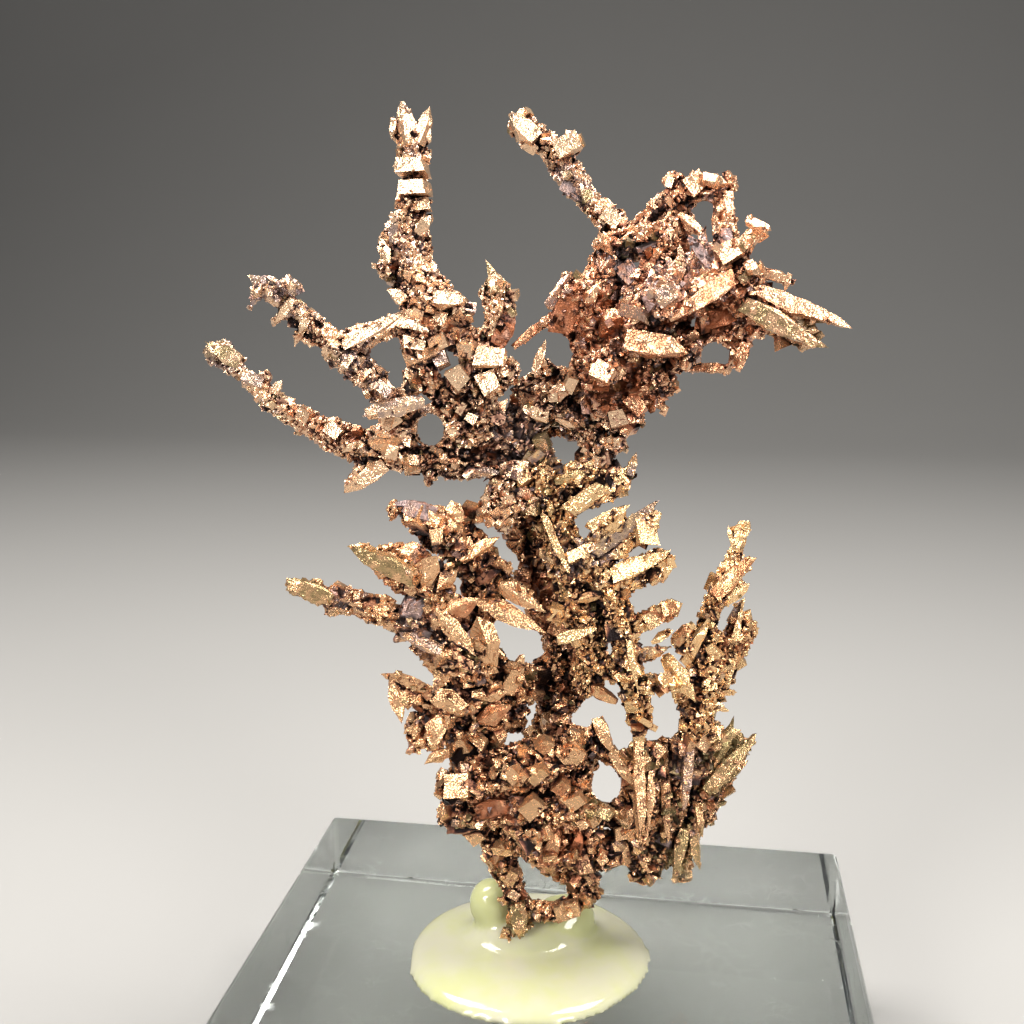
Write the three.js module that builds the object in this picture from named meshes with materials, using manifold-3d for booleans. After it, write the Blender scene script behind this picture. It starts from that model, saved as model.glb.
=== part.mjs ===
// Dendritic native copper, held by a pad of glue on a clear acrylic block.
// Millimetres, +Z up. The origin is the centre of the block's underside.
import * as THREE from "three";
import { mergeVertices } from "three/addons/utils/BufferGeometryUtils.js";
import Module from "manifold-3d";

const wasm = await Module();
wasm.setup();

// The block is a 1 1/2 inch square specimen base with broken edges.
const BLOCK_SIDE = 38.1;
const BLOCK_HEIGHT = 12;
const BLOCK_CHAMFER = 0.35;

// Where the copper's foot stands on the block, and its turn about the vertical.
const FOOT_X = -1.5;
const FOOT_Y = 3.1;
const FOOT_TURN_DEG = 8.6;

// Glue: a round puddle with a full edge, a mound under the foot and a bead of glue pushed up behind it.
const PUDDLE_RADIUS = 7.6;
const PUDDLE_DEPTH_SHARE = 0.93;
const PUDDLE_HEIGHT = 1.15;
const MOUND_RADIUS = 4.6;
const MOUND_HEIGHT = 2.3;
const GLUE_SEGMENTS = 14;
const GLUE_LIFT = 0.02;
const GLUE_LUMPS = [
  { at: [-2.3, 1.3, 2.9], size: [1.55, 1.5, 1.65] },
  { at: [2.3, 1.4, 1.9], size: [2, 1.6, 1.35] },
];
const LUMP_SEGMENTS = [8, 6];

// Copper pieces that meet at a fork stay about 0.3 apart. Growing a crystal's half sizes by this much moves
// its slanting faces out by that.
const FORK_GROWTH = 0.45;

// Slivers smaller than this, which a cut leaves along its edge, are smoothed away.
const CRUMB_SIZE = 0.08;

// Gaps where daylight shows between branches that have grown together: the pieces that each one opens, its
// middle, and its half width and half height. They run along the line of sight from the front.
const VIEWER = [-1.06, -65.7, 43.7];
const GAP_SIDES = 6;
const GAP_LENGTH = 18;
const GAPS = [
  { pieces: ["hub"], at: [-5.6, -0.7, 33.4], half: [0.85, 1] },
  { pieces: ["hub"], at: [-4.6, -0.6, 36.9], half: [0.65, 0.65] },
  { pieces: ["right_cluster"], at: [9.6, -3.4, 37.8], half: [0.85, 0.75] },
  { pieces: ["right_fan", "right_blades"], at: [8.2, -0.7, 16], half: [0.75, 1.15] },
  { pieces: ["root_mass"], at: [4.6, -0.6, 11.9], half: [1, 1.2] },
  { pieces: ["stem", "left_fan"], at: [-0.6, 0.5, 20.5], half: [1.6, 1.25] },
  { pieces: ["high_left_arm"], at: [-7.4, -1, 36.3], half: [0.55, 0.55] },
];

// A limb's body swells and necks along its line, as a chain of crystals grown through each other does.
const LIMB_SIDES = 4;
const LIMB_FULLNESS = 1.14;
const LIMB_DEPTH_SHARE = 0.9;
const KNOT_PITCH = 2.15;
const KNOT_VARIATION = 0.35;
const NECK_SHARE = 0.74;
const LIMB_TIP_SHARE = 0.6;

// Teeth lean from the limb towards its tip, as parallel-grown side crystals do.
const TOOTH_LEAN_DEG = 58;
const TOOTH_VARIATION = 0.5;
const TOOTH_SPREAD_DEG = 80;
const SPUR_ROLL_DEG = 22;

// Crystal habits as outlines turned about the growth axis: [share of the half width, share of the length].
const HABITS = {
  leaf: { sides: 4, turn: 0, thick: 0.5, outline: [[0, 0], [1, 0.42], [0, 1]] },
  spear: { sides: 5, turn: 0, thick: 0.8, outline: [[0, 0], [1, 0.4], [0, 1]] },
  tongue: { sides: 4, turn: 45, thick: 0.6, outline: [[0, 0], [1.3, 0.1], [1.35, 0.8], [0, 1]] },
  block: { sides: 4, turn: 45, thick: 0.9, outline: [[0, 0], [1.3, 0.7], [0, 1]] },
  tooth: { sides: 4, turn: 0, thick: 0.8, outline: [[0, 0], [1, 0.55], [0, 1]] },
};

// Rows of side crystals: rows round the limb, pitch along it, reach past its radius and width.
const FINE_COMB = { rows: 2, pitch: 3.6, reach: 0.45, width: 1 };
const ROUGH_COMB = { rows: 2, pitch: 5, reach: 0.7, width: 1.3 };
const BLOCK_COMB = { rows: 2, pitch: 4, reach: 0.6, width: 1.5 };
const FERN_COMB = { rows: 2, pitch: 3, reach: 0.8, width: 1 };

// The copper, split at its main forks. In its frame x runs right, y away from the viewer and z up from the
// block's top. A limb has a name, the line it follows, its radius along that line, a comb of side crystals
// and spurs: [share along the line, bearing in the front plane, tilt to the viewer, length, width, habit].
const COPPER = {
  root_mass: [
    {
      name: "foot",
      line: [[-0.5, -0.4, 2.1], [-0.6, -0.3, 3.6], [-1.4, 0.2, 5.6], [-1.9, 0.3, 8]],
      radius: [0.7, 0.9, 1, 1.2],
      spurs: [
        [0.02, 200, 20, 1.5, 1, "block"],
        [0.3, 160, 20, 1.7, 1, "tooth"],
      ],
    },
    {
      name: "toe",
      line: [[-0.5, -0.3, 3.4], [1.7, -0.5, 3.4], [3.4, 0, 3.4], [3, 0.5, 6]],
      radius: [0.8, 0.85, 1, 1.2],
      spurs: [
        [0.55, 350, 10, 1.6, 1.1, "tooth"],
      ],
    },
    {
      name: "top row",
      line: [[-3.9, -1.2, 12.7], [-0.6, -2, 13.4], [2.9, -1.2, 14.3]],
      radius: [1.7, 1.8, 1.6],
      comb: BLOCK_COMB,
      spurs: [
        [0.02, 195, 35, 2.2, 1.8, "block"],
        [0.35, 95, 45, 2.2, 1.6, "block"],
        [0.8, 60, 30, 2.2, 1.5, "block"],
      ],
    },
    {
      name: "middle row",
      line: [[-3.8, -0.4, 10.1], [-0.6, -2, 10.9], [3.6, -1.2, 11.2]],
      radius: [1.4, 1.8, 1.8],
      comb: BLOCK_COMB,
      spurs: [
        [0, 190, 10, 1.9, 1.6, "block"],
        [0.5, 300, 50, 2.3, 1.6, "block"],
      ],
    },
    {
      name: "low row",
      line: [[-2.4, 0.3, 7.9], [0.9, -1, 8.2], [5, -0.2, 7.3]],
      radius: [1.3, 1.7, 1.4],
      comb: BLOCK_COMB,
      spurs: [
        [0.75, 290, 35, 2, 1.2, "tooth"],
      ],
    },
    {
      name: "heart",
      line: [[2.9, 0.4, 5.4], [2.2, 0.4, 8.9], [2.6, 0.4, 12.4], [2.2, 0.8, 14.6]],
      radius: [1.3, 2, 2.1, 1.5],
    },
    {
      name: "strut",
      line: [[3.2, -0.6, 15], [4.4, -0.8, 14.2], [5.6, -1, 12], [5.4, -0.4, 9.5]],
      radius: [0.9, 0.6, 0.7, 1.2],
      spurs: [
        [0.1, 95, 0, 1.7, 0.9, "tooth"],
      ],
    },
  ],
  stem: [
    {
      name: "stem",
      line: [
        [2, 1.6, 16], [1.5, 1.5, 17.6], [1.6, 1.7, 20.2],
        [0.8, 1.9, 23.3], [0.3, 1.9, 26.4], [-0.1, 1.5, 29.3],
      ],
      radius: [1.5, 1.6, 1.5, 1.3, 1.3, 1.3],
      comb: ROUGH_COMB,
      spurs: [
        [0.6, 150, 35, 2.4, 1.4, "tooth"],
        [0.8, 185, 40, 2.2, 1.3, "block"],
      ],
    },
    {
      name: "side link",
      line: [[1.4, 1.4, 20.5], [2.6, 0.8, 20], [3.6, 0.4, 18.6]],
      radius: [1, 0.9, 0.9],
    },
  ],
  hub: [
    {
      name: "neck",
      line: [[0, 1, 31], [-0.4, 0.8, 33.4], [0.8, 0, 35.4], [2.2, -0.6, 36]],
      radius: [1.4, 1.8, 1.8, 1.3],
      spurs: [
        [0.7, 85, 25, 2.6, 1.2, "block"],
        [0.55, 20, 40, 2.6, 1.3, "block"],
      ],
    },
    {
      name: "left beam",
      line: [[-0.3, 0.8, 32.3], [-2.9, 0, 33.4], [-5.1, -0.6, 33.8], [-6.4, -0.9, 33.6]],
      radius: [1.6, 1.5, 1.5, 1.2],
      spurs: [
        [0.95, 183, 15, 3.4, 2, "leaf"],
        [0.5, 75, 50, 2.2, 1.5, "block"],
      ],
    },
    {
      name: "riser",
      line: [[-3, -0.3, 33.8], [-3, -0.9, 35.9], [-2.8, -1, 37.8], [-4.2, -0.6, 38.8]],
      radius: [1.2, 1.3, 1.2, 1.1],
      spurs: [
        [0.55, -15, 25, 2.5, 1.8, "block"],
        [0.3, 140, 40, 2.1, 1.4, "block"],
        [0.3, 30, 45, 2.1, 1.4, "block"],
      ],
    },
    {
      name: "shoulder",
      line: [[-3.6, -0.6, 34.6], [-5.6, -0.8, 36.2], [-6.2, -0.9, 37.1]],
      radius: [1.2, 1.2, 1],
      spurs: [
        [0.7, 30, 15, 1.9, 1.2, "block"],
      ],
    },
    {
      name: "under beam",
      line: [[-0.6, 0.5, 31], [-3.7, 0, 31.5], [-6.2, -0.6, 31.7]],
      radius: [1.2, 1.1, 1],
      spurs: [
        [0.85, 250, 20, 1.8, 1.1, "tooth"],
        [0.35, 165, 30, 2, 1, "tongue"],
      ],
    },
    {
      name: "hanging cubes",
      line: [[-1, 0, 31], [-1.6, -1, 29.6], [-1.7, -1.6, 28.7]],
      radius: [1.2, 1.2, 1],
      spurs: [
        [0.6, 200, 30, 1.8, 1.1, "block"],
        [0.9, 280, 30, 1.5, 1, "block"],
        [0.6, 340, 30, 1.8, 1.1, "block"],
      ],
    },
    {
      name: "spike",
      line: [[-2.4, -1, 38.2], [-1.9, -1.2, 40.3], [-2.2, -1.4, 41.3]],
      radius: [0.5, 0.75, 0.6],
      spurs: [
        [0.7, 97, 0, 2, 1.4, "leaf"],
        [0.55, 25, 0, 1.3, 0.8, "tooth"],
      ],
    },
    {
      name: "right boss",
      line: [[1.2, 0, 35], [3, -0.6, 34], [3.2, -0.6, 32.4], [4.2, -0.9, 31.6]],
      radius: [1.3, 1.5, 1.3, 0.9],
      spurs: [
        [0.45, 5, 30, 2.6, 1.3, "block"],
        [0.85, 30, 15, 2.2, 1.2, "tongue"],
      ],
    },
  ],
  right_cluster: [
    {
      name: "core",
      line: [[3.6, -1, 36.2], [4.2, -1.8, 37.2], [5.8, -2.5, 39], [7.7, -3, 41.1], [9.8, -3.4, 42]],
      radius: [1.5, 1.9, 2, 1.9, 1.6],
      spurs: [
        [0.25, 215, 55, 3, 2.2, "block"],
        [0.92, 212, 30, 4.2, 1.3, "tongue"],
        [0.75, -50, 40, 3, 1.4, "leaf"],
        [0.5, 120, 50, 2.6, 1.5, "block"],
        [0.82, 78, 5, 3.4, 1.5, "leaf"],
      ],
    },
    {
      name: "chin",
      line: [[3.8, -1, 35.4], [5.4, -1.8, 35.3], [7, -2.5, 36.8]],
      radius: [1.2, 1.5, 1.1],
      spurs: [
        [0.85, 285, 30, 2.2, 1, "tooth"],
        [0.55, 262, 10, 2, 1.3, "block"],
      ],
    },
    {
      name: "left wall",
      line: [[3.9, -1.4, 36.9], [3, -1.6, 38.9], [3.7, -1.2, 41.2], [4.3, -0.6, 42.9]],
      radius: [1.3, 1.1, 1.3, 1.05],
      spurs: [
        [0.1, 112, 5, 5, 2.5, "tongue"],
        [0.95, 95, 10, 1.5, 1.9, "block"],
        [0.55, 175, 30, 2, 1.3, "leaf"],
      ],
    },
    {
      name: "thin link",
      line: [[2.2, -1.2, 39.6], [0.7, -1, 39.3], [-0.4, -0.7, 38.3]],
      radius: [0.6, 0.45, 0.35],
    },
    {
      name: "arch",
      line: [
        [5, -0.6, 43.2], [6.6, -0.6, 45.1], [8.4, -1, 46.3],
        [9.9, -1.6, 46], [10.1, -2.4, 44], [10.4, -3.2, 42],
      ],
      radius: [0.9, 0.85, 0.9, 0.9, 0.7, 1],
      spurs: [
        [0.38, 115, 0, 1.4, 1.1, "block"],
        [0.58, 40, 5, 1.3, 1.1, "block"],
      ],
    },
    {
      name: "filler",
      line: [[5.8, -2, 40.4], [6.8, -1.8, 42.6], [7.2, -1.2, 44], [8.1, -1, 45.2]],
      radius: [1.4, 1.2, 1.1, 0.8],
      spurs: [
        [0.45, 300, 45, 2.6, 1.3, "leaf"],
        [0.6, 150, 20, 2.2, 1.2, "block"],
      ],
    },
    {
      name: "wrist",
      line: [[9.5, -3.4, 41.6], [11.1, -4.2, 40.5], [12.3, -4.6, 39.7]],
      radius: [1.6, 1.5, 1.1],
      spurs: [
        [0.5, -13, 9, 5.2, 1.5, "leaf"],
        [0.5, -29, 3, 4.8, 1.5, "tongue"],
        [0.2, 25, 40, 2.3, 1.8, "block"],
      ],
    },
    {
      name: "nail",
      line: [[10.4, -3.6, 42], [10.9, -3.8, 43.2], [11.1, -3.8, 43.8]],
      radius: [0.7, 0.45, 0.45],
      spurs: [
        [0.9, 40, 0, 1.1, 0.9, "block"],
      ],
    },
    {
      name: "hook",
      line: [[10.8, -3.6, 41.9], [12.5, -3.8, 42], [13.1, -3.8, 41.8], [13.1, -3.8, 41.5]],
      radius: [0.8, 0.45, 0.45, 0.35],
    },
    {
      name: "under wall",
      line: [[6.4, -2.2, 38], [8.9, -3.2, 38.2], [10.9, -4, 39.3]],
      radius: [1.4, 1.3, 1.2],
      spurs: [
        [0.1, 5, 52, 3.2, 1.9, "block"],
        [0.85, 15, 40, 2.6, 1.5, "leaf"],
      ],
    },
    {
      name: "ring",
      line: [[10.8, -3.9, 38.9], [11, -3.8, 37.4], [9.6, -3.4, 37.1], [8.2, -2.9, 37.4]],
      radius: [0.7, 0.6, 0.4, 0.5],
    },
  ],
  left_fan: [
    {
      name: "fan root",
      line: [
        [-0.4, 0.2, 17.7], [-1.4, -0.5, 18.4], [-3.5, -2, 20.2],
        [-5.7, -3, 22.2], [-6.8, -3.3, 23.6],
      ],
      radius: [1.3, 1.5, 1.6, 1.6, 1.2],
      spurs: [
        [0.48, 125, 40, 4, 1.7, "leaf"],
        [0.36, 97, 42, 4.2, 2, "leaf"],
        [0.12, 80, 45, 4.2, 2.1, "leaf"],
        [0.78, 72, 35, 3.6, 2.2, "leaf"],
        [0.6, 235, 40, 3, 1.8, "leaf"],
      ],
    },
    {
      name: "long spear",
      line: [
        [-5.7, -3, 22.3], [-7.8, -3.4, 23.5], [-10, -3.8, 24.4],
        [-11.8, -4.2, 25], [-13, -4.5, 25.5],
      ],
      radius: [1.2, 1, 0.9, 0.85, 0.5],
      comb: FINE_COMB,
      spurs: [
        [0.85, 158, 10, 1.8, 1.1, "spear"],
      ],
    },
    {
      name: "short spear",
      line: [[-5.2, -3, 23.4], [-5.8, -3.5, 25.4], [-7.4, -4, 26.7], [-8.5, -4.5, 27.2]],
      radius: [1.3, 1.5, 1.2, 0.8],
      spurs: [
        [0.75, 155, 18, 3.1, 1.7, "spear"],
        [0.25, 60, 25, 2.8, 2.2, "leaf"],
      ],
    },
    {
      name: "upper spear",
      line: [
        [-3.8, -1.8, 20.6], [-2.8, -0.9, 23], [-2.5, -0.9, 25.2],
        [-4.3, -1.8, 27.4], [-6, -2.4, 28.7], [-6.8, -2.7, 29.1],
      ],
      radius: [1.2, 1.3, 1.3, 1.4, 1.2, 0.9],
      spurs: [
        [0.67, 92, 5, 2.6, 1.3, "leaf"],
        [0.52, 15, 50, 3, 1.4, "leaf"],
        [0.58, -22, 15, 3.2, 1, "leaf"],
        [0.45, -31, 15, 4.6, 1.7, "leaf"],
        [0.22, 160, 45, 2.8, 1.8, "leaf"],
        [1, 165, 10, 1.2, 1.2, "block"],
      ],
    },
    {
      name: "low spear",
      line: [[-1, -0.2, 17.6], [-3.5, -1.5, 17.7], [-5.6, -2.4, 17.1], [-5.8, -2.6, 15.4]],
      radius: [1.2, 1.4, 1.4, 1],
      spurs: [
        [0.58, 158, 10, 3.4, 1.5, "tongue"],
        [0.58, 222, 8, 3.4, 1.8, "tongue"],
        [0.97, 205, 10, 1.9, 1.1, "leaf"],
        [0.35, 265, 45, 2.6, 1.4, "leaf"],
      ],
    },
    {
      name: "fan fill",
      line: [[-0.6, 0.1, 16.2], [-3, -0.9, 15.9], [-4.8, -1.4, 15.8]],
      radius: [1.1, 1.3, 1],
    },
  ],
  right_fern: [
    {
      name: "inner rib",
      line: [
        [0.7, -0.8, 31], [1, -0.9, 29.4], [1.8, -1, 26.5],
        [2.9, -1.2, 23.5], [3.6, -1.1, 20.8], [3.4, -0.8, 18],
      ],
      radius: [1.3, 1.4, 1.3, 1.4, 1.3, 1],
      spurs: [
        [0.2, 32, 14, 5.5, 1.3, "tongue"],
        [0.6, 190, 35, 2.2, 1.2, "tooth"],
      ],
    },
    {
      name: "outer rib",
      line: [[3, -1.8, 26.6], [4.7, -2.4, 24.6], [5.3, -2.4, 21.6], [5.9, -2, 18.5], [6.5, -1.6, 16.2]],
      radius: [0.9, 0.95, 0.95, 0.9, 0.8],
      comb: FERN_COMB,
      spurs: [
        [0, 51, 20, 3.8, 1.1, "tongue"],
        [0.08, 43, 12, 5, 1.4, "tongue"],
        [0.22, 31, 8, 4, 1.5, "tongue"],
        [0.46, 31, 8, 3.6, 1.1, "tongue"],
        [0.62, 22, 8, 2.9, 1.4, "leaf"],
        [0.76, 14, 8, 2.6, 1.3, "leaf"],
      ],
    },
    {
      name: "shoulder",
      line: [[0.9, -0.9, 29.8], [2.4, -1.2, 31], [3.5, -1.4, 31]],
      radius: [1, 1, 0.8],
    },
    {
      name: "high rung",
      line: [[2.2, -1.2, 25.2], [4.6, -2.3, 25]],
      radius: [1, 0.9],
    },
    {
      name: "low rung",
      line: [[3.6, -1, 19.8], [5.7, -2.4, 19.6]],
      radius: [1, 0.9],
    },
  ],
  right_blades: [
    {
      name: "front blade",
      line: [[6.6, -1.2, 14.6], [6.9, -1, 11.1], [6.6, -0.6, 7.4], [7.2, -0.4, 5.6]],
      radius: [1.1, 1.2, 1.1, 0.8],
      comb: FINE_COMB,
      spurs: [
        [0.05, 110, 15, 1.8, 1.2, "tooth"],
      ],
    },
    {
      name: "second blade",
      line: [[9, -0.2, 14.6], [8.6, -0.2, 10.7], [7.8, 0.2, 6.3]],
      radius: [1.2, 1.3, 1],
    },
    {
      name: "third blade",
      line: [[11.1, 0.8, 14.8], [10.4, 0.6, 10.9], [9.5, 0.8, 5.6]],
      radius: [1.1, 1.2, 0.7],
      spurs: [
        [0.95, 275, 5, 1.5, 1, "tongue"],
      ],
    },
    {
      name: "back blade",
      line: [[12.8, 1.9, 13.6], [11.8, 1.6, 11.3], [10.6, 1.2, 8.8]],
      radius: [0.9, 1, 0.9],
      spurs: [
        [0.1, 20, 5, 1.6, 1.1, "tooth"],
      ],
    },
    {
      name: "low tie",
      line: [[6.4, 0.2, 7.2], [8.8, 0.4, 7.4], [9.8, 0.8, 9]],
      radius: [0.9, 1, 0.9],
    },
    {
      name: "high tie",
      line: [[6.6, -1, 12.8], [9, -0.2, 12.6], [12, 1.6, 12.2]],
      radius: [0.9, 1, 0.9],
    },
  ],
  right_fan: [
    {
      name: "fan stem",
      line: [[9.7, -0.5, 15.5], [9.9, -0.6, 17.3], [10.2, -0.6, 19.3], [10.6, -0.2, 21.4]],
      radius: [1.1, 1.25, 1.4, 1.1],
      comb: FINE_COMB,
      spurs: [
        [0.3, 137, 35, 4, 2, "leaf"],
        [0.85, 165, 15, 2.6, 1.2, "block"],
        [0.3, -20, 0, 2.7, 0.9, "leaf"],
      ],
    },
    {
      name: "tall prong",
      line: [[10, -0.4, 20], [10.5, 0, 22.5], [11.4, 0.5, 24.5], [12.2, 0.8, 26.5], [12.5, 1, 27.6]],
      radius: [1, 0.85, 0.7, 0.6, 0.4],
      spurs: [
        [0.64, 6, 0, 1.6, 0.9, "tooth"],
        [0.55, -4, 0, 1.7, 0.8, "tooth"],
        [0.95, 172, 0, 1.1, 0.5, "tooth"],
        [0.95, 55, 0, 0.9, 0.5, "tooth"],
      ],
    },
    {
      name: "flat prong",
      line: [[10.2, 0.2, 17.4], [12, 1, 19.6], [12.9, 1.6, 21.4]],
      radius: [1.1, 1.05, 0.85],
      spurs: [
        [0.75, 70, 0, 2.3, 1.5, "leaf"],
      ],
    },
  ],
  low_left_arm: [
    {
      name: "arm",
      line: [
        [-7.2, -0.6, 31.9], [-8.2, -0.4, 32], [-10.5, 0.2, 32.6], [-12.9, 1, 33.7],
        [-15.3, 1.8, 35], [-16.6, 2.3, 36.2], [-18.2, 2.7, 37.5],
      ],
      radius: [1.05, 1.1, 0.9, 0.8, 0.8, 0.65, 0.75],
      comb: FINE_COMB,
      spurs: [
        [0.1, 223, 10, 3.2, 1.2, "spear"],
        [0.73, 60, 5, 1.4, 0.8, "block"],
        [0.97, 160, 5, 1.1, 1, "block"],
      ],
    },
  ],
  high_left_arm: [
    {
      name: "arm",
      line: [
        [-7.2, -1.3, 35.2], [-7.9, -1.6, 35.7], [-9.4, -2, 37], [-10.6, -2.4, 38.4],
        [-11.9, -2.8, 39.5], [-12.9, -3, 40.5], [-13.7, -3.2, 41.2], [-14.4, -3.4, 41.5],
      ],
      radius: [1.1, 1.1, 1, 0.9, 0.75, 0.65, 0.6, 0.55],
      comb: FINE_COMB,
      spurs: [
        [0.97, 243, 5, 1.6, 0.7, "spear"],
        [0.8, 85, 10, 1.5, 1.4, "block"],
        [0.79, 230, 5, 1.8, 0.7, "spear"],
        [0.68, 247, 5, 1.7, 0.75, "spear"],
      ],
    },
    {
      name: "bridge",
      line: [[-9.9, -2.2, 38.1], [-7.7, -1.6, 39.1], [-5.8, -1, 38.9], [-5.4, -0.9, 38.5]],
      radius: [0.8, 0.8, 0.85, 0.7],
      spurs: [
        [0.7, 280, 35, 1.6, 1.1, "block"],
      ],
    },
  ],
  top_spire: [
    {
      name: "lower spire",
      line: [[-5.4, -0.5, 40.1], [-6.6, 0, 42.1], [-7, 0.4, 43.9], [-6.6, 0.8, 45.6]],
      radius: [1.4, 1.7, 1.5, 0.85],
      comb: BLOCK_COMB,
      spurs: [
        [0.05, 0, 10, 2.3, 1.3, "block"],
        [0.6, 108, 10, 2.4, 0.9, "leaf"],
        [0.4, 175, 20, 2.1, 1.3, "block"],
      ],
    },
    {
      name: "upper spire",
      line: [[-6.6, 0.8, 45.4], [-6.4, 1, 46.6], [-6.5, 1.2, 47.7], [-6.4, 1.4, 48.6]],
      radius: [0.9, 1, 1.05, 0.8],
      spurs: [
        [0.8, 102, 0, 3.1, 1.9, "leaf"],
        [0.8, 70, 5, 2.9, 1.6, "leaf"],
        [0.1, 0, 5, 1.2, 1, "tooth"],
      ],
    },
  ],
  top_right_arm: [
    {
      name: "arm",
      line: [
        [4.6, 0.6, 44.5], [3.4, 1.2, 45.6], [2.4, 2, 46.9],
        [1.5, 2.6, 48.2], [0.6, 3.2, 49.2], [-0.8, 3.7, 50.2],
      ],
      radius: [0.75, 0.9, 0.85, 0.95, 0.85, 0.75],
      spurs: [
        [0.64, 32, 10, 1.8, 1.2, "block"],
        [0.85, 227, 10, 1.3, 0.9, "tooth"],
      ],
    },
  ],
  back_spray: [
    {
      name: "right spray",
      line: [[1.9, 2.6, 33], [3.5, 4.5, 34.9], [6, 6.6, 37.6], [7.8, 8, 39.8]],
      radius: [1.2, 1.1, 1, 0.6],
      comb: FINE_COMB,
      spurs: [
        [0.9, 45, -35, 2.4, 1.1, "leaf"],
        [0.5, 100, -30, 2.8, 1.2, "leaf"],
        [0.55, 10, -50, 2.6, 1.1, "tongue"],
      ],
    },
    {
      name: "left spray",
      line: [[0.8, 2.8, 33], [-2.4, 5, 32.9], [-4, 7.2, 33.6]],
      radius: [1.2, 1, 0.6],
      comb: FINE_COMB,
      spurs: [
        [0.85, 150, -45, 2.4, 1.1, "leaf"],
        [0.5, 210, -50, 2.4, 1.1, "leaf"],
      ],
    },
  ],
  back_fan: [
    {
      name: "left frond",
      line: [[1.4, 3.4, 17], [-1.6, 5.6, 16.6], [-4.4, 7.6, 16.4]],
      radius: [1.2, 1.1, 0.6],
      comb: FINE_COMB,
      spurs: [
        [0.9, 170, -40, 2.6, 1.2, "leaf"],
        [0.5, 110, -40, 2.8, 1.3, "leaf"],
        [0.55, 250, -45, 2.4, 1.2, "leaf"],
      ],
    },
    {
      name: "right frond",
      line: [[1.6, 3.4, 17.4], [3.6, 5, 20], [4.8, 6.8, 21.6]],
      radius: [1.1, 1, 0.6],
      spurs: [
        [0.85, 60, -40, 2.4, 1.1, "leaf"],
        [0.5, 20, -45, 2.6, 1, "tongue"],
      ],
    },
    {
      name: "low frond",
      line: [[1.4, 3.2, 16.6], [1, 4.8, 12.8], [-0.2, 6.6, 10.6]],
      radius: [1.1, 1.2, 0.7],
      spurs: [
        [0.9, 240, -40, 2.2, 1.1, "block"],
        [0.6, 190, -45, 2.4, 1.2, "leaf"],
      ],
    },
  ],
};

// Finishes: aged copper, milky glue and clear acrylic.
const copperFinish = new THREE.MeshStandardMaterial({ color: 0xb5774a, roughness: 0.55, metalness: 0.6 });
const glueFinish = new THREE.MeshStandardMaterial({
  color: 0xdfe0a6,
  roughness: 0.2,
  metalness: 0,
  transparent: true,
  opacity: 0.9,
});
const acrylicFinish = new THREE.MeshStandardMaterial({
  color: 0xf2f6f4,
  roughness: 0.04,
  metalness: 0,
  transparent: true,
  opacity: 0.3,
});

const DEPTH_AXIS = new THREE.Vector3(0, 1, 0);
const UP_AXIS = new THREE.Vector3(0, 0, 1);

// A number generator whose run depends only on the piece's name, so that every build is the same.
function seededRandom(name) {
  let state = [...name].reduce((sum, letter) => (sum * 31 + letter.charCodeAt(0)) >>> 0, 7);
  return () => {
    state = (state + 0x6d2b79f5) >>> 0;
    let mixed = Math.imul(state ^ (state >>> 15), state | 1);
    mixed ^= mixed + Math.imul(mixed ^ (mixed >>> 7), mixed | 61);
    return ((mixed ^ (mixed >>> 14)) >>> 0) / 4294967296;
  };
}

// The value of an evenly spaced list at a share along it.
function valueAlong(list, share) {
  const place = share * (list.length - 1);
  const low = Math.min(Math.floor(place), list.length - 2);
  return THREE.MathUtils.lerp(list[low], list[low + 1], place - low);
}

// A closed three.js geometry as a solid that can be joined and cut.
function solidOf(geometry) {
  const bare = geometry.clone();
  bare.deleteAttribute("normal");
  bare.deleteAttribute("uv");
  const merged = mergeVertices(bare, 1e-5);
  const corners = merged.index.array;
  const triVerts = [];
  for (let i = 0; i < corners.length; i += 3) {
    const [a, b, c] = corners.subarray(i, i + 3);
    if (a !== b && b !== c && c !== a) triVerts.push(a, b, c);
  }
  const mesh = new wasm.Mesh({
    numProp: 3,
    vertProperties: merged.attributes.position.array,
    triVerts: new Uint32Array(triVerts),
  });
  return new wasm.Manifold(mesh);
}

// A solid back as a three.js geometry, with flat faces.
function geometryOf(solid) {
  const mesh = solid.getMesh();
  const geometry = new THREE.BufferGeometry();
  geometry.setAttribute("position", new THREE.BufferAttribute(mesh.vertProperties, 3));
  geometry.setIndex(new THREE.BufferAttribute(mesh.triVerts, 1));
  const faceted = geometry.toNonIndexed();
  faceted.computeVertexNormals();
  return faceted;
}

// The largest body of a solid, without the crumbs that a cut leaves.
function largestBody(solid) {
  return solid.decompose().reduce((best, body) => (body.volume() > best.volume() ? body : best));
}

// A direction across the growth axis, in the front plane as far as it can be, rolled by an angle.
function acrossOf(along, rollDeg) {
  const across = new THREE.Vector3().crossVectors(along, DEPTH_AXIS);
  if (across.lengthSq() < 1e-4) across.set(1, 0, 0);
  return across.normalize().applyAxisAngle(along, THREE.MathUtils.degToRad(rollDeg));
}

// A straight turned body, its axis from 0 to 1, bent along a curve.
function bendAlong(geometry, curve) {
  const length = curve.getLength();
  const place = geometry.getAttribute("position");
  for (let i = 0; i < place.count; i++) {
    const share = THREE.MathUtils.clamp(place.getY(i), 0, 1);
    const along = curve.getTangentAt(share);
    const across = acrossOf(along, 0);
    const deep = new THREE.Vector3().crossVectors(across, along);
    const point = curve.getPointAt(share).addScaledVector(along, (place.getY(i) - share) * length);
    point.addScaledVector(across, place.getX(i)).addScaledVector(deep, place.getZ(i) * LIMB_DEPTH_SHARE);
    place.setXYZ(i, ...point);
  }
  return geometry;
}

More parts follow.
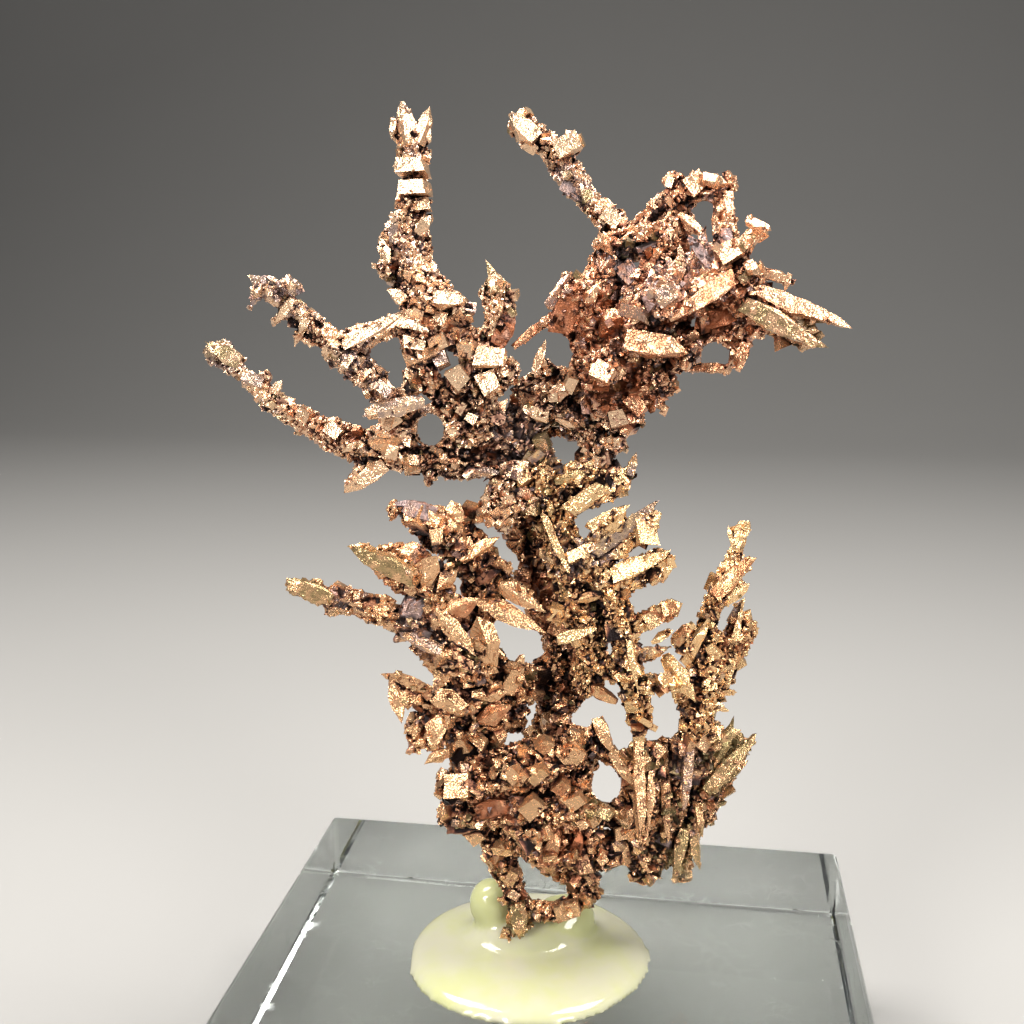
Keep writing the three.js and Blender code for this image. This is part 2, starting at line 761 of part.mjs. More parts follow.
// A limb's own body, as a function of the margin round it.
function bodyOf(limb, curve, random) {
  const length = curve.getLength();
  const steps = Math.max(2, Math.round(length / KNOT_PITCH));
  const radii = Array.from({ length: steps + 1 }, (_, i) => {
    const knot = (i % 2 ? NECK_SHARE : 1) * (1 + KNOT_VARIATION * (random() - 0.5));
    return valueAlong(limb.radius, i / steps) * knot * LIMB_FULLNESS;
  });
  return (margin) => {
    const rings = radii.map((radius, i) => new THREE.Vector2(radius + margin, i / steps));
    const tips = [radii[0], radii[steps]].map((radius) => (LIMB_TIP_SHARE * radius + margin) / length);
    const profile = [new THREE.Vector2(0, -tips[0]), ...rings, new THREE.Vector2(0, 1 + tips[1])];
    return bendAlong(new THREE.LatheGeometry(profile, LIMB_SIDES), curve);
  };
}

// One crystal, as a function of the margin round it.
function crystalOf({ habit, start, along, across, length, width }) {
  const { sides, turn, thick, outline } = HABITS[habit];
  const profile = outline.map(([radius, height]) => new THREE.Vector2(radius, height));
  const thin = new THREE.Vector3().crossVectors(across, along);
  return (margin) => {
    const crystal = new THREE.LatheGeometry(profile, sides, THREE.MathUtils.degToRad(turn));
    crystal.scale(width / 2 + margin, length + 2 * margin, (width * thick) / 2 + margin);
    const foot = start.clone().addScaledVector(along, -margin);
    return crystal.applyMatrix4(new THREE.Matrix4().makeBasis(across, along, thin).setPosition(foot));
  };
}

// Rows of side crystals along a limb.
function teethOf(limb, curve, random) {
  if (!limb.comb) return [];
  const { rows, pitch, reach, width } = limb.comb;
  const count = Math.floor(curve.getLength() / pitch);
  const lean = THREE.MathUtils.degToRad(TOOTH_LEAN_DEG);
  const teeth = [];
  for (let i = 0; i < count * rows; i++) {
    const share = (i + 0.25 + 0.5 * random()) / (count * rows);
    const tangent = curve.getTangentAt(share);
    const outward = acrossOf(tangent, (360 * i) / rows + TOOTH_SPREAD_DEG * (random() - 0.5));
    const along = tangent.clone().multiplyScalar(Math.cos(lean)).addScaledVector(outward, Math.sin(lean));
    const size = 1 + TOOTH_VARIATION * (random() - 0.5);
    teeth.push(crystalOf({
      habit: "tooth",
      start: curve.getPointAt(share),
      along,
      across: acrossOf(along, TOOTH_SPREAD_DEG * random()),
      length: valueAlong(limb.radius, share) + reach * size,
      width: width * size,
    }));
  }
  return teeth;
}

// The single crystals that stand out of a limb.
function spursOf(limb, curve, random) {
  return (limb.spurs ?? []).map(([share, bearing, tilt, length, width, habit]) => {
    const turn = THREE.MathUtils.degToRad(bearing);
    const lift = THREE.MathUtils.degToRad(tilt);
    const flat = Math.cos(lift);
    const along = new THREE.Vector3(flat * Math.cos(turn), -Math.sin(lift), flat * Math.sin(turn));
    const across = acrossOf(along, SPUR_ROLL_DEG * (2 * random() - 1));
    return crystalOf({ habit, start: curve.getPointAt(share), along, across, length, width });
  });
}

// Every limb body and crystal of one piece of the copper.
function growthsOf(name, limbs) {
  return limbs.flatMap((limb) => {
    const random = seededRandom(name + limb.name);
    const curve = new THREE.CatmullRomCurve3(limb.line.map((point) => new THREE.Vector3(...point)));
    return [bodyOf(limb, curve, random), ...teethOf(limb, curve, random), ...spursOf(limb, curve, random)];
  });
}

// Growths joined into one solid, with a margin round each.
function growTogether(growths, margin) {
  return wasm.Manifold.union(growths.map((growth) => solidOf(growth(margin))));
}

// A gap as a straight prism along the line of sight.
function gapOf({ at, half }) {
  const middle = new THREE.Vector3(...at);
  const along = middle.clone().sub(new THREE.Vector3(...VIEWER)).normalize();
  const across = new THREE.Vector3().crossVectors(along, UP_AXIS).normalize();
  const up = new THREE.Vector3().crossVectors(across, along);
  const prism = new THREE.CylinderGeometry(1, 1, GAP_LENGTH, GAP_SIDES).scale(half[0], 1, half[1]);
  return solidOf(prism.applyMatrix4(new THREE.Matrix4().makeBasis(across, along, up).setPosition(middle)));
}

// The copper's pieces in order from the root. Each is cut clear of the pieces before it.
function makeCopper() {
  const pieces = [];
  for (const [name, limbs] of Object.entries(COPPER)) {
    const growths = growthsOf(name, limbs);
    const gaps = GAPS.filter((gap) => gap.pieces.includes(name)).map(gapOf);
    const open = gaps.reduce((solid, gap) => solid.subtract(gap), growTogether(growths, 0));
    const cleared = pieces.reduce((solid, piece) => solid.subtract(piece.clearance), open);
    const solid = largestBody(cleared.simplify(CRUMB_SIZE));
    pieces.push({ name, solid, clearance: growTogether(growths, FORK_GROWTH) });
  }
  return pieces;
}

// The glue's puddle and mound: flat below, with a full round edge and a low crown under the foot.
function puddleGeometry() {
  const edge = PUDDLE_HEIGHT / 2;
  const outline = new THREE.Path();
  outline.moveTo(0, 0);
  outline.lineTo(PUDDLE_RADIUS - edge, 0);
  outline.absarc(PUDDLE_RADIUS - edge, edge, edge, -Math.PI / 2, Math.PI / 2);
  outline.lineTo(MOUND_RADIUS, PUDDLE_HEIGHT);
  outline.quadraticCurveTo(MOUND_RADIUS / 2, MOUND_HEIGHT, 0, MOUND_HEIGHT);
  const ring = new THREE.LatheGeometry(outline.getPoints(2), GLUE_SEGMENTS);
  return ring.rotateX(Math.PI / 2).scale(1, PUDDLE_DEPTH_SHARE, 1);
}

// The glue, joined from its puddle and lumps and cut clear of the copper.
function makeGlue(copper) {
  const lumps = GLUE_LUMPS.map(({ at, size }) => {
    const lump = new THREE.SphereGeometry(1, ...LUMP_SEGMENTS).rotateX(Math.PI / 2);
    return solidOf(lump.scale(...size).translate(...at));
  });
  const joined = wasm.Manifold.union([solidOf(puddleGeometry()), ...lumps]);
  const cleared = copper.reduce((solid, piece) => solid.subtract(piece.clearance), joined);
  return largestBody(cleared).translate([0, 0, GLUE_LIFT]);
}

// The block: a square with broken corners, raised with a chamfer round its top and bottom.
function blockGeometry() {
  const half = BLOCK_SIDE / 2 - BLOCK_CHAMFER;
  const square = new THREE.Shape([
    new THREE.Vector2(-half, -half),
    new THREE.Vector2(half, -half),
    new THREE.Vector2(half, half),
    new THREE.Vector2(-half, half),
  ]);
  const body = new THREE.ExtrudeGeometry(square, {
    depth: BLOCK_HEIGHT - 2 * BLOCK_CHAMFER,
    bevelSize: BLOCK_CHAMFER,
    bevelThickness: BLOCK_CHAMFER,
    bevelSegments: 1,
  });
  return body.translate(0, 0, BLOCK_CHAMFER);
}

function namedMesh(name, geometry, material) {
  const mesh = new THREE.Mesh(geometry, material);
  mesh.name = name;
  return mesh;
}

const copper = makeCopper();
const specimen = new THREE.Group();
specimen.position.set(FOOT_X, FOOT_Y, BLOCK_HEIGHT);
specimen.rotation.z = THREE.MathUtils.degToRad(FOOT_TURN_DEG);
specimen.add(namedMesh("glue_pad", geometryOf(makeGlue(copper)), glueFinish));
for (const piece of copper) {
  specimen.add(namedMesh(piece.name, geometryOf(piece.solid), copperFinish));
}

const part = new THREE.Group();
part.add(namedMesh("display_block", blockGeometry(), acrylicFinish), specimen);
export default part;
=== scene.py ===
"""Dresses the branching native copper specimen, its glue pad and its clear block.

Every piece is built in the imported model's frame, in metres, with +Z up and -Y towards the viewer.
"""

import logging
import math
from dataclasses import dataclass, field
from enum import Enum
from itertools import repeat

import bmesh
import bpy
import numpy as np
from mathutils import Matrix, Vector, noise
from mathutils.bvhtree import BVHTree


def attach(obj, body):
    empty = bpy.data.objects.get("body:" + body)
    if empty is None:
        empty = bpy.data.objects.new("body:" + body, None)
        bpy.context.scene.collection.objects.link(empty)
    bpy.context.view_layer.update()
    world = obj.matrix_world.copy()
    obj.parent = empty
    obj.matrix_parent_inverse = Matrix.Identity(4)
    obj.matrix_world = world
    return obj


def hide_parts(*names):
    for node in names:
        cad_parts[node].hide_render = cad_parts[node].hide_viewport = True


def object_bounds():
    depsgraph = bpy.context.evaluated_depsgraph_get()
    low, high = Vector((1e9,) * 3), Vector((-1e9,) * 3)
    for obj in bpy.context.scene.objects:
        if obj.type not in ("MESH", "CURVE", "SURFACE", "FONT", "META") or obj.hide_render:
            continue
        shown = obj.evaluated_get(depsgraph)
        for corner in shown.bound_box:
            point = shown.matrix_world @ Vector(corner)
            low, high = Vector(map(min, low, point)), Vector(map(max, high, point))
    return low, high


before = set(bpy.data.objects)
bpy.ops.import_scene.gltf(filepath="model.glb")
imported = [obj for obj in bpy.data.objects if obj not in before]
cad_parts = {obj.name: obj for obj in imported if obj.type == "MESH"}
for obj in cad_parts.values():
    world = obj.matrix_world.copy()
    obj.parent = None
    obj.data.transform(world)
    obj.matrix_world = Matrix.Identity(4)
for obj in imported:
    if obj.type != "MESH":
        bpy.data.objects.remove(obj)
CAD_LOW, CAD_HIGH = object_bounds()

MM = 0.001
SEED = 442
BOX_LOW = np.array(CAD_LOW) / MM
BOX_HIGH = np.array(CAD_HIGH) / MM
BLOCK_TOP = 12.0
FRONT = np.array([0.146, -0.963, 0.225])
BOX_MARGIN = 0.01
FOOT = np.array([-1.5, 3.1, BLOCK_TOP + 4])
NEIGHBOURHOOD = 2.4
# Ray casting for the painted shade that darkens the colour in crevices.
CREVICE_RAYS = 5
CREVICE_REACH = 0.6
CREVICE_LIFT = 0.02
CREVICE_LEAN = 1.1
CREVICE_GREY = 0.7
CREVICE_SHARE = 0.7
LOG = logging.getLogger("specimen")

Colour = tuple[float, float, float, float]
Place = tuple[float, float, float]
Arrays = tuple[np.ndarray, ...]

CAMERA_PLACE: Place = (7.28, -62.02, 55.7)
EYE = np.array(CAMERA_PLACE)


def srgb(red: int, green: int, blue: int) -> Colour:
    """Turns a given colour into the linear colour that a shader takes.

    Args:
        red: The red channel, from 0 to 255.
        green: The green channel, from 0 to 255.
        blue: The blue channel, from 0 to 255.

    Returns:
        The linear colour with full alpha.
    """
    shares = [channel / 255 for channel in (red, green, blue)]
    linear = [s / 12.92 if s <= 0.04045 else ((s + 0.055) / 1.055) ** 2.4 for s in shares]
    return (*linear, 1.0)


class Habit(Enum):
    """A shape that a copper crystal grows in, as the corners of its hull."""

    BLOCK = "block"
    OCTAHEDRON = "octahedron"
    DODECAHEDRON = "dodecahedron"
    LEAF = "leaf"
    SPEAR = "spear"
    TONGUE = "tongue"

    def corners(self) -> list[Place]:
        """Gives the corners of the shape.

        Returns:
            The corners. Grains are centred, while leaves, spears and tongues grow from 0 to 1 along z.
        """
        signs = (-1, 1)
        if self is Habit.BLOCK:
            foot = [(x, y, -1) for x in signs for y in signs]
            return foot + [(0.82 * x, 0.82 * y, 1) for x in signs for y in signs]
        if self is Habit.OCTAHEDRON:
            rim = [(-1, 0, 0), (1, 0, 0), (0, -1, 0), (0, 1, 0), (0, 0, -1)]
            return rim + [(0.3 * x, 0.3 * y, 0.75) for x in signs for y in signs]
        if self is Habit.DODECAHEDRON:
            cube = [(0.5 * x, 0.5 * y, 0.5 * z) for x in signs for y in signs for z in signs]
            return cube + [(s * (k == 0), s * (k == 1), s * (k == 2)) for s in signs for k in range(3)]
        if self is Habit.LEAF:
            outline = [(-0.45, 0, 0), (0.45, 0, 0), (-1, 0, 0.4), (1, 0, 0.4), (-0.7, 0, 0.7), (0.7, 0, 0.7)]
            return outline + [(0, 0, 1), (0, -1, 0.42), (0, 1, 0.42), (0, -0.7, 0.02), (0, 0.7, 0.02)]
        if self is Habit.SPEAR:
            shaft = [(0.75 * x, 0.75 * y, 0) for x in signs for y in signs]
            return shaft + [(x, y, 0.55) for x in signs for y in signs] + [(0, 0, 1)]
        slab = [(0.75 * x, 0.8 * y, 0) for x in signs for y in signs]
        slab += [(x, 0.5 * y, 0.34) for x in signs for y in signs]
        slab += [(0.7 * x, y, 0.66) for x in signs for y in signs]
        return slab + [(0.34 * x, 0.5 * y, 0.92) for x in signs for y in signs] + [(0, 0, 1)]


@dataclass(frozen=True)
class CrystalForm:
    """One crystal shape as arrays, ready to be repeated."""

    points: np.ndarray
    faces: np.ndarray

    @classmethod
    def of(cls, habit: Habit) -> "CrystalForm":
        """Makes the closed hull of a habit.

        Args:
            habit: The shape wanted.

        Returns:
            The hull's points and triangles, with the faces outward.
        """
        hull = bmesh.new()
        for corner in habit.corners():
            hull.verts.new(corner)
        bmesh.ops.convex_hull(hull, input=hull.verts)
        bmesh.ops.triangulate(hull, faces=hull.faces)
        bmesh.ops.recalc_face_normals(hull, faces=hull.faces)
        hull.verts.index_update()
        points = np.array([v.co for v in hull.verts])
        faces = np.array([[v.index for v in f.verts] for f in hull.faces])
        hull.free()
        return cls(points, faces)


FORMS = {habit: CrystalForm.of(habit) for habit in Habit}
GRAIN_HABITS = (Habit.BLOCK, Habit.OCTAHEDRON, Habit.DODECAHEDRON)
LEAF_HABITS = (Habit.LEAF, Habit.SPEAR, Habit.TONGUE)


def unit(vectors: np.ndarray) -> np.ndarray:
    """Scales each row to length 1."""
    return vectors / np.maximum(np.linalg.norm(vectors, axis=-1, keepdims=True), 1e-9)


def turned(upward: np.ndarray, across: np.ndarray) -> np.ndarray:
    """Makes one rotation per crystal.

    Args:
        upward: The way each crystal grows, one row each.
        across: A rough direction for each crystal's width.

    Returns:
        Rotation matrices whose columns are width, thickness and growth.
    """
    z = unit(upward)
    x = unit(across - np.sum(across * z, 1, keepdims=True) * z)
    return np.stack([x, np.cross(z, x), z], axis=2)


def stepped(values: np.ndarray, low: float, high: float) -> np.ndarray:
    """Rises smoothly from 0 at low to 1 at high."""
    share = np.clip((values - low) / (high - low), 0, 1)
    return share * share * (3 - 2 * share)


def bumps(points: np.ndarray, pitch: float) -> np.ndarray:
    """Gives an uneven height for each point.

    Args:
        points: The points, in millimetres.
        pitch: The size of the unevenness, in millimetres.

    Returns:
        One height from about -1 to 1 for each point.
    """
    return np.array([noise.noise(place) for place in (points / pitch).tolist()])


@dataclass(frozen=True)
class Opening:
    """A gap between grown-together branches that shows daylight from the front, in millimetres."""

    centre: Place
    across: float
    up: float

    def holds(self, points: np.ndarray) -> np.ndarray:
        """Tells which points stand in the line of sight through the gap.

        Args:
            points: The points, in millimetres.

        Returns:
            True for each point in the gap.
        """
        line = np.array(self.centre) - EYE
        axis = unit(line)
        right = unit(np.cross(axis, (0, 0, 1)))
        away = points - EYE
        share = away @ axis / np.linalg.norm(line)
        sideways = away @ right / (self.across * share)
        upward = away @ np.cross(right, axis) / (self.up * share)
        return sideways**2 + upward**2 < 1


def in_openings(points: np.ndarray) -> np.ndarray:
    """Tells which points stand in any of the gaps."""
    return np.any([gap.holds(points) for gap in OPENINGS], axis=0)


def exposed(points: np.ndarray, faces: np.ndarray) -> np.ndarray:
    """Finds how far each point stands clear of the crystals round it, which sets the painted shade in
    crevices.

    Args:
        points: The points of a joined mesh, in millimetres.
        faces: Its triangles.

    Returns:
        1 for a point in the open, 0 for one at the bottom of a crevice.
    """
    normals = point_normals(points, faces)
    tree = BVHTree.FromPolygons(points.tolist(), faces.tolist())
    starts = (points + normals * CREVICE_LIFT).tolist()
    ways = unit(np.random.default_rng(SEED).normal(size=(CREVICE_RAYS, 3)))
    free = np.zeros(len(points))
    for way in ways:
        outward = unit(way + normals * CREVICE_LEAN).tolist()
        hits = map(tree.ray_cast, starts, outward, repeat(CREVICE_REACH))
        free += [1.0 if hit[3] is None else hit[3] / CREVICE_REACH * CREVICE_GREY for hit in hits]
    return free / CREVICE_RAYS


class Stain(Enum):
    """A tarnish that colours part of the copper."""

    RUSSET = 0
    ASH = 1
    OLIVE = 2


@dataclass(frozen=True)
class StainPatch:
    """A round region of the copper that carries a tarnish."""

    stain: Stain
    centre: Place
    radius: float
    strength: float


@dataclass(frozen=True)
class Showpiece:
    """One notable crystal, from its base to its tip, in millimetres."""

    habit: Habit
    base: Place
    tip: Place
    width: float
    flatness: float
    tone: float
    stain: Stain | None = None


def placed(name: str, data: bpy.types.ID) -> bpy.types.Object:
    """Puts a mesh, a lamp or a camera into the scene.

    Args:
        name: The object's name.
        data: What the object shows.

    Returns:
        The linked object.
    """
    made = bpy.data.objects.new(name, data)
    bpy.context.scene.collection.objects.link(made)
    return made


@dataclass
class Skin:
    """Points, triangles and per-point masks gathered for one joined mesh, in millimetres."""

    points: list[np.ndarray] = field(default_factory=list)
    faces: list[np.ndarray] = field(default_factory=list)
    masks: list[np.ndarray] = field(default_factory=list)
    stains: list[np.ndarray] = field(default_factory=list)
    count: int = 0

    def add(self, points: np.ndarray, faces: np.ndarray, masks: np.ndarray, stains: np.ndarray) -> None:
        """Adds one closed body or many.

        Args:
            points: The points, one row each.
            faces: The triangles, counted from these points.
            masks: Tone, relief and openness of each point; relief and openness set the painted shade and
                painted highlights.
            stains: The amount of each stain at each point.
        """
        self.points.append(points)
        self.faces.append(faces + self.count)
        self.masks.append(masks)
        self.stains.append(stains)
        self.count += len(points)

    def mesh_object(self, name: str) -> bpy.types.Object:
        """Joins what was gathered into one mesh object.

        Args:
            name: The object's name.

        Returns:
            The linked object, with its masks as point attributes.
        """
        points = np.clip(np.concatenate(self.points), BOX_LOW + BOX_MARGIN, BOX_HIGH - BOX_MARGIN)
        faces = np.concatenate(self.faces)
        masks = np.concatenate(self.masks)
        # Painted shade: the relief mask mostly takes the ray-cast openness, so crevices get a darker colour.
        masks[:, 1] = masks[:, 1] * 0.3 + exposed(points, faces) * CREVICE_SHARE
        mesh = bpy.data.meshes.new(name)
        mesh.vertices.add(len(points))
        mesh.vertices.foreach_set("co", (points * MM).astype(np.float32).ravel())
        mesh.loops.add(faces.size)
        mesh.loops.foreach_set("vertex_index", faces.astype(np.int32).ravel())
        mesh.polygons.add(len(faces))
        mesh.polygons.foreach_set("loop_start", np.arange(0, faces.size, 3, dtype=np.int32))
        mesh.update(calc_edges=True)
        mesh.shade_flat()
        for column, label in enumerate(("tone", "relief", "openness")):
            values = masks[:, column].astype(np.float32)
            mesh.attributes.new(label, "FLOAT", "POINT").data.foreach_set("value", values)
        stains = np.concatenate(self.stains).astype(np.float32).ravel()
        mesh.attributes.new("stain", "FLOAT_VECTOR", "POINT").data.foreach_set("vector", stains)
        return placed(name, mesh)


def solid_arrays(node: str) -> tuple[np.ndarray, np.ndarray]:
    """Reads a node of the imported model.

    Args:
        node: The node's name.

    Returns:
        Its points in millimetres and its triangles.
    """
    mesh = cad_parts[node].data
    mesh.calc_loop_triangles()
    points = np.zeros(len(mesh.vertices) * 3)
    mesh.vertices.foreach_get("co", points)
    faces = np.zeros(len(mesh.loop_triangles) * 3, dtype=np.int32)
    mesh.loop_triangles.foreach_get("vertices", faces)
    return points.reshape(-1, 3) / MM, faces.reshape(-1, 3)


def remeshed(points: np.ndarray, faces: np.ndarray, voxel: float) -> Arrays:
    """Rebuilds a closed solid with small even faces.

    Args:
        points: The solid's points, in millimetres.
        faces: Its triangles.
        voxel: The size of the new faces, in millimetres.

    Returns:
        The new points, triangles and point normals.
    """
    draft = bpy.data.meshes.new("draft")
    draft.from_pydata(points.tolist(), [], faces.tolist())
    joined = bmesh.new()
    joined.from_mesh(draft)
    bmesh.ops.remove_doubles(joined, verts=joined.verts, dist=1e-4)
    joined.to_mesh(draft)
    joined.free()
    carrier = placed("draft", draft)
    modifier = carrier.modifiers.new("even", "REMESH")
    modifier.mode = "VOXEL"
    modifier.voxel_size = voxel
    even = carrier.evaluated_get(bpy.context.evaluated_depsgraph_get()).to_mesh()
    even.calc_loop_triangles()
    made = np.zeros(len(even.vertices) * 3)
    even.vertices.foreach_get("co", made)
    normals = np.zeros(len(even.vertices) * 3)
    even.vertex_normals.foreach_get("vector", normals)
    triangles = np.zeros(len(even.loop_triangles) * 3, dtype=np.int32)
    even.loop_triangles.foreach_get("vertices", triangles)
    bpy.data.objects.remove(carrier)
    bpy.data.meshes.remove(draft)
    return made.reshape(-1, 3), triangles.reshape(-1, 3), normals.reshape(-1, 3)


def subdivided(points: np.ndarray, faces: np.ndarray, rounds: int) -> tuple[np.ndarray, np.ndarray]:
    """Splits every triangle of a closed form into four, some times over.

    Args:
        points: The form's points.
        faces: Its triangles.
        rounds: How often the triangles are split.

    Returns:
        The points and triangles, on the same flat faces as before.
    """
    for _ in range(rounds):
        edges = np.sort(faces[:, [[0, 1], [1, 2], [2, 0]]].reshape(-1, 2), axis=1)
        pairs, which = np.unique(edges, axis=0, return_inverse=True)
        a, b, c = faces.T
        ab, bc, ca = (which.reshape(-1, 3) + len(points)).T
        points = np.concatenate([points, points[pairs].mean(1)])
        split = ((a, ab, ca), (ab, b, bc), (ca, bc, c), (ab, bc, ca))
        faces = np.concatenate([np.stack(corners, 1) for corners in split])
    return points, faces


def point_normals(points: np.ndarray, faces: np.ndarray) -> np.ndarray:
    """Gives each point the mean direction of the triangles round it.

    Args:
        points: The points of a mesh.
        faces: Its triangles.

    Returns:
        One direction of length 1 for each point.
    """
    corners = points[faces]
    crosses = np.cross(corners[:, 1] - corners[:, 0], corners[:, 2] - corners[:, 0])
    normals = np.zeros_like(points)
    for k in range(3):
        np.add.at(normals, faces[:, k], crosses)
    return unit(normals)


def nearest(points: np.ndarray, anchors: np.ndarray) -> np.ndarray:
    """Finds the closest anchor of each point.

    Args:
        points: The points, one row each.
        anchors: The anchors, one row each.

    Returns:
        The index of the closest anchor for each point.
    """
    found = np.zeros(len(points), dtype=np.int64)
    spread = np.sum(anchors**2, 1)
    for start in range(0, len(points), 4000):
        part = points[start : start + 4000]
        found[start : start + 4000] = np.argmin(spread - 2 * part @ anchors.T, 1)
    return found


@dataclass
class Spots:
    """Places on a branch's surface where crystals start."""

    places: np.ndarray
    normals: np.ndarray
    growth: np.ndarray
    openness: np.ndarray
    depth: np.ndarray

    def pick(self, chosen: np.ndarray) -> "Spots":
        """Keeps only the chosen places."""
        columns = (self.places, self.normals, self.growth, self.openness, self.depth)
        return Spots(*(rows[chosen] for rows in columns))


class Thicket:
    """All the copper solids together, for finding recesses and the thickness of a place."""

    RAYS = 18
    REACH = 7.0
    LIFT = 0.35
    LEAN = 1.05
    GREY = 0.6
    MOST_DEPTH = 6.0

    def __init__(self, nodes: list[str]) -> None:
        """Joins the solids of the given nodes into one search tree.

        Args:
            nodes: The nodes' names.
        """
        points, faces, start = [], [], 0
        for node in nodes:
            solid, triangles = solid_arrays(node)
            points.append(solid)
            faces.append(triangles + start)
            start += len(solid)
        self.owners = np.repeat(nodes, [len(triangles) for triangles in faces])
        self.points, self.faces = np.concatenate(points), np.concatenate(faces)
        self.tree = BVHTree.FromPolygons(self.points.tolist(), self.faces.tolist())
        rng = np.random.default_rng(SEED)
        self.directions = unit(rng.normal(size=(self.RAYS, 3)))

    def without(self, node: str) -> BVHTree:
        """Gives a search tree of every solid but one node's."""
        return BVHTree.FromPolygons(self.points.tolist(), self.faces[self.owners != node].tolist())

    def openness(self, place: np.ndarray, normal: np.ndarray) -> float:
        """Tells how much of the sky above a place is free of other copper, which sets the painted shade
        there.

        Args:
            place: The place, in millimetres.
            normal: The surface's direction there.

        Returns:
            1 where all is open, 0 deep inside the thicket.
        """
        start = Vector(place + normal * self.LIFT)
        free = 0.0
        for way in self.directions:
            outward = Vector(unit(way + normal * self.LEAN))
            hit = self.tree.ray_cast(start, outward, self.REACH)
            free += 1.0 if hit[0] is None else hit[3] / self.REACH * self.GREY
        return free / self.RAYS

    def depth(self, place: np.ndarray, normal: np.ndarray) -> float:
        """Measures the copper's thickness under a place, in millimetres."""
        hit = self.tree.ray_cast(Vector(place - normal * 0.02), Vector(-normal), self.MOST_DEPTH)
        return self.MOST_DEPTH if hit[0] is None else float(hit[3])


@dataclass
class CopperBranch:
    """One branch of the copper, grown over its solid as a crust of joined crystals."""

    node: str
    finish: "CopperFinish"
    grain: float = 0.12
    grain_cover: float = 8.5
    block: float = 0.27
    block_cover: float = 1.6
    leaf_length: float = 0.8
    leaf_cover: float = 0.12
    flatness: float = 0.4
    sink: float = 0.14
    showpiece_pitch: float = 0.38
    showpiece_cover: float = 2.6
    bridge_share: float = 0.3
    bridge_reach: float = 0.75
    facet_pitch: float = 0.5
    voxel: float = 0.15
    brightness: float = 0.0
    russet: float = 0.12
    ash: float = 0.07
    olive: float = 0.05
    rng: np.random.Generator = field(init=False)

    def __post_init__(self) -> None:
        """Gives the branch a growth of its own that is the same on every run."""
        own = sum(ord(letter) * (k + 1) for k, letter in enumerate(self.node))
        self.rng = np.random.default_rng(SEED + own)

    def spots(self, thicket: Thicket) -> Spots:
        """Chooses the places where crystals start.

        Args:
            thicket: All the copper solids.

        Returns:
            Places spread over the branch's solid by area.
        """
        points, faces = solid_arrays(self.node)
        corners = points[faces]
        crosses = np.cross(corners[:, 1] - corners[:, 0], corners[:, 2] - corners[:, 0])
        areas = np.linalg.norm(crosses, axis=1) / 2
        number = int(areas.sum() * (self.grain_cover + self.block_cover + self.leaf_cover))
        chosen = self.rng.choice(len(faces), number, p=areas / areas.sum())
        weights = self.rng.dirichlet((1, 1, 1), number)
        places = np.einsum("nk,nkj->nj", weights, corners[chosen])
        normals = unit(crosses)[chosen]
        # The openness sets painted shade: crystals in hollows get a darker colour.
        openness = np.array([thicket.openness(p, n) for p, n in zip(places, normals)])
        depth = np.array([thicket.depth(p, n) for p, n in zip(places, normals)])
        return Spots(places, normals, self.growth_at(places), openness, depth)

    def growth_at(self, places: np.ndarray) -> np.ndarray:
        """Finds the direction in which the branch runs near each place.

        Args:
            places: Places on the branch.

        Returns:
            The branch's direction at each place, pointing away from the foot.
        """
        anchors = places[:: max(1, len(places) // 240)]
        runs = np.zeros_like(anchors)
        for k, anchor in enumerate(anchors):
            near = places[np.sum((places - anchor) ** 2, 1) < NEIGHBOURHOOD**2]
            _, vectors = np.linalg.eigh(np.cov((near - near.mean(0)).T) + np.eye(3) * 1e-6)
            run = vectors[:, 2]
            outward = anchor - FOOT
            runs[k] = run if run @ outward >= 0 else -run
        return runs[nearest(places, anchors)]

    def stains_at(self, places: np.ndarray) -> np.ndarray:
        """Finds how much of each tarnish lies at each place.

        Args:
            places: Places on the branch.

        Returns:
            Russet, ash and olive amounts, one row per place.
        """
        amounts = np.zeros((len(places), 3))
        for patch in PATCHES.get(self.node, ()):
            away = np.linalg.norm(places - np.array(patch.centre), axis=1) / patch.radius
            amounts[:, patch.stain.value] += patch.strength * stepped(1 - away, 0.0, 0.6)
        amounts *= self.rng.uniform(0.35, 1.3, (len(places), 1))
        lot = self.rng.random((len(places), 3)) < (self.russet, self.ash, self.olive)
        return np.clip(amounts + lot * self.rng.uniform(0.3, 0.9, (len(places), 3)), 0, 1)

    def crystals(
        self,
        skin: Skin,
        habit: Habit,
        spots: Spots,
        centres: np.ndarray,
        turns: np.ndarray,
        sizes: np.ndarray,
    ) -> None:
        """Adds one crystal of a habit at each spot.

        Args:
            skin: The gathered mesh.
            habit: The crystals' shape.
            spots: Where the crystals start.
            centres: The crystals' own origins.
            turns: The crystals' rotations.
            sizes: The crystals' half widths or lengths along their own axes.
        """
        form, number = FORMS[habit], len(centres)
        if number == 0:
            return
        shape = form.points[None] + self.rng.normal(0, 0.15, (number, len(form.points), 3)) * (1, 1, 0.7)
        points = centres[:, None] + np.einsum("nij,nkj->nki", turns, shape * sizes[:, None])
        clear = ~in_openings(points).any(1)
        points, spots, number = points[clear], spots.pick(clear), int(clear.sum())
        rise = np.einsum("nkj,nj->nk", points - spots.places[:, None], spots.normals)
        masks = np.zeros((number, len(form.points), 3))
        masks[:, :, 0] = np.clip(self.rng.normal(0.5, 0.24, (number, 1)) + self.brightness, 0, 1)
        # Painted shade: each crystal is darker at its foot and lighter at its tip, and darker where it
        # stands in a hollow.
        masks[:, :, 1] = np.clip((rise + 0.26) / 0.36, 0, 1)
        masks[:, :, 2] = spots.openness[:, None]
        stains = np.repeat(self.stains_at(spots.places)[:, None], len(form.points), 1)
        starts = np.arange(number)[:, None, None] * len(form.points)
        faces = (form.faces[None] + starts).reshape(-1, 3)
        skin.add(points.reshape(-1, 3), faces, masks.reshape(-1, 3), stains.reshape(-1, 3))

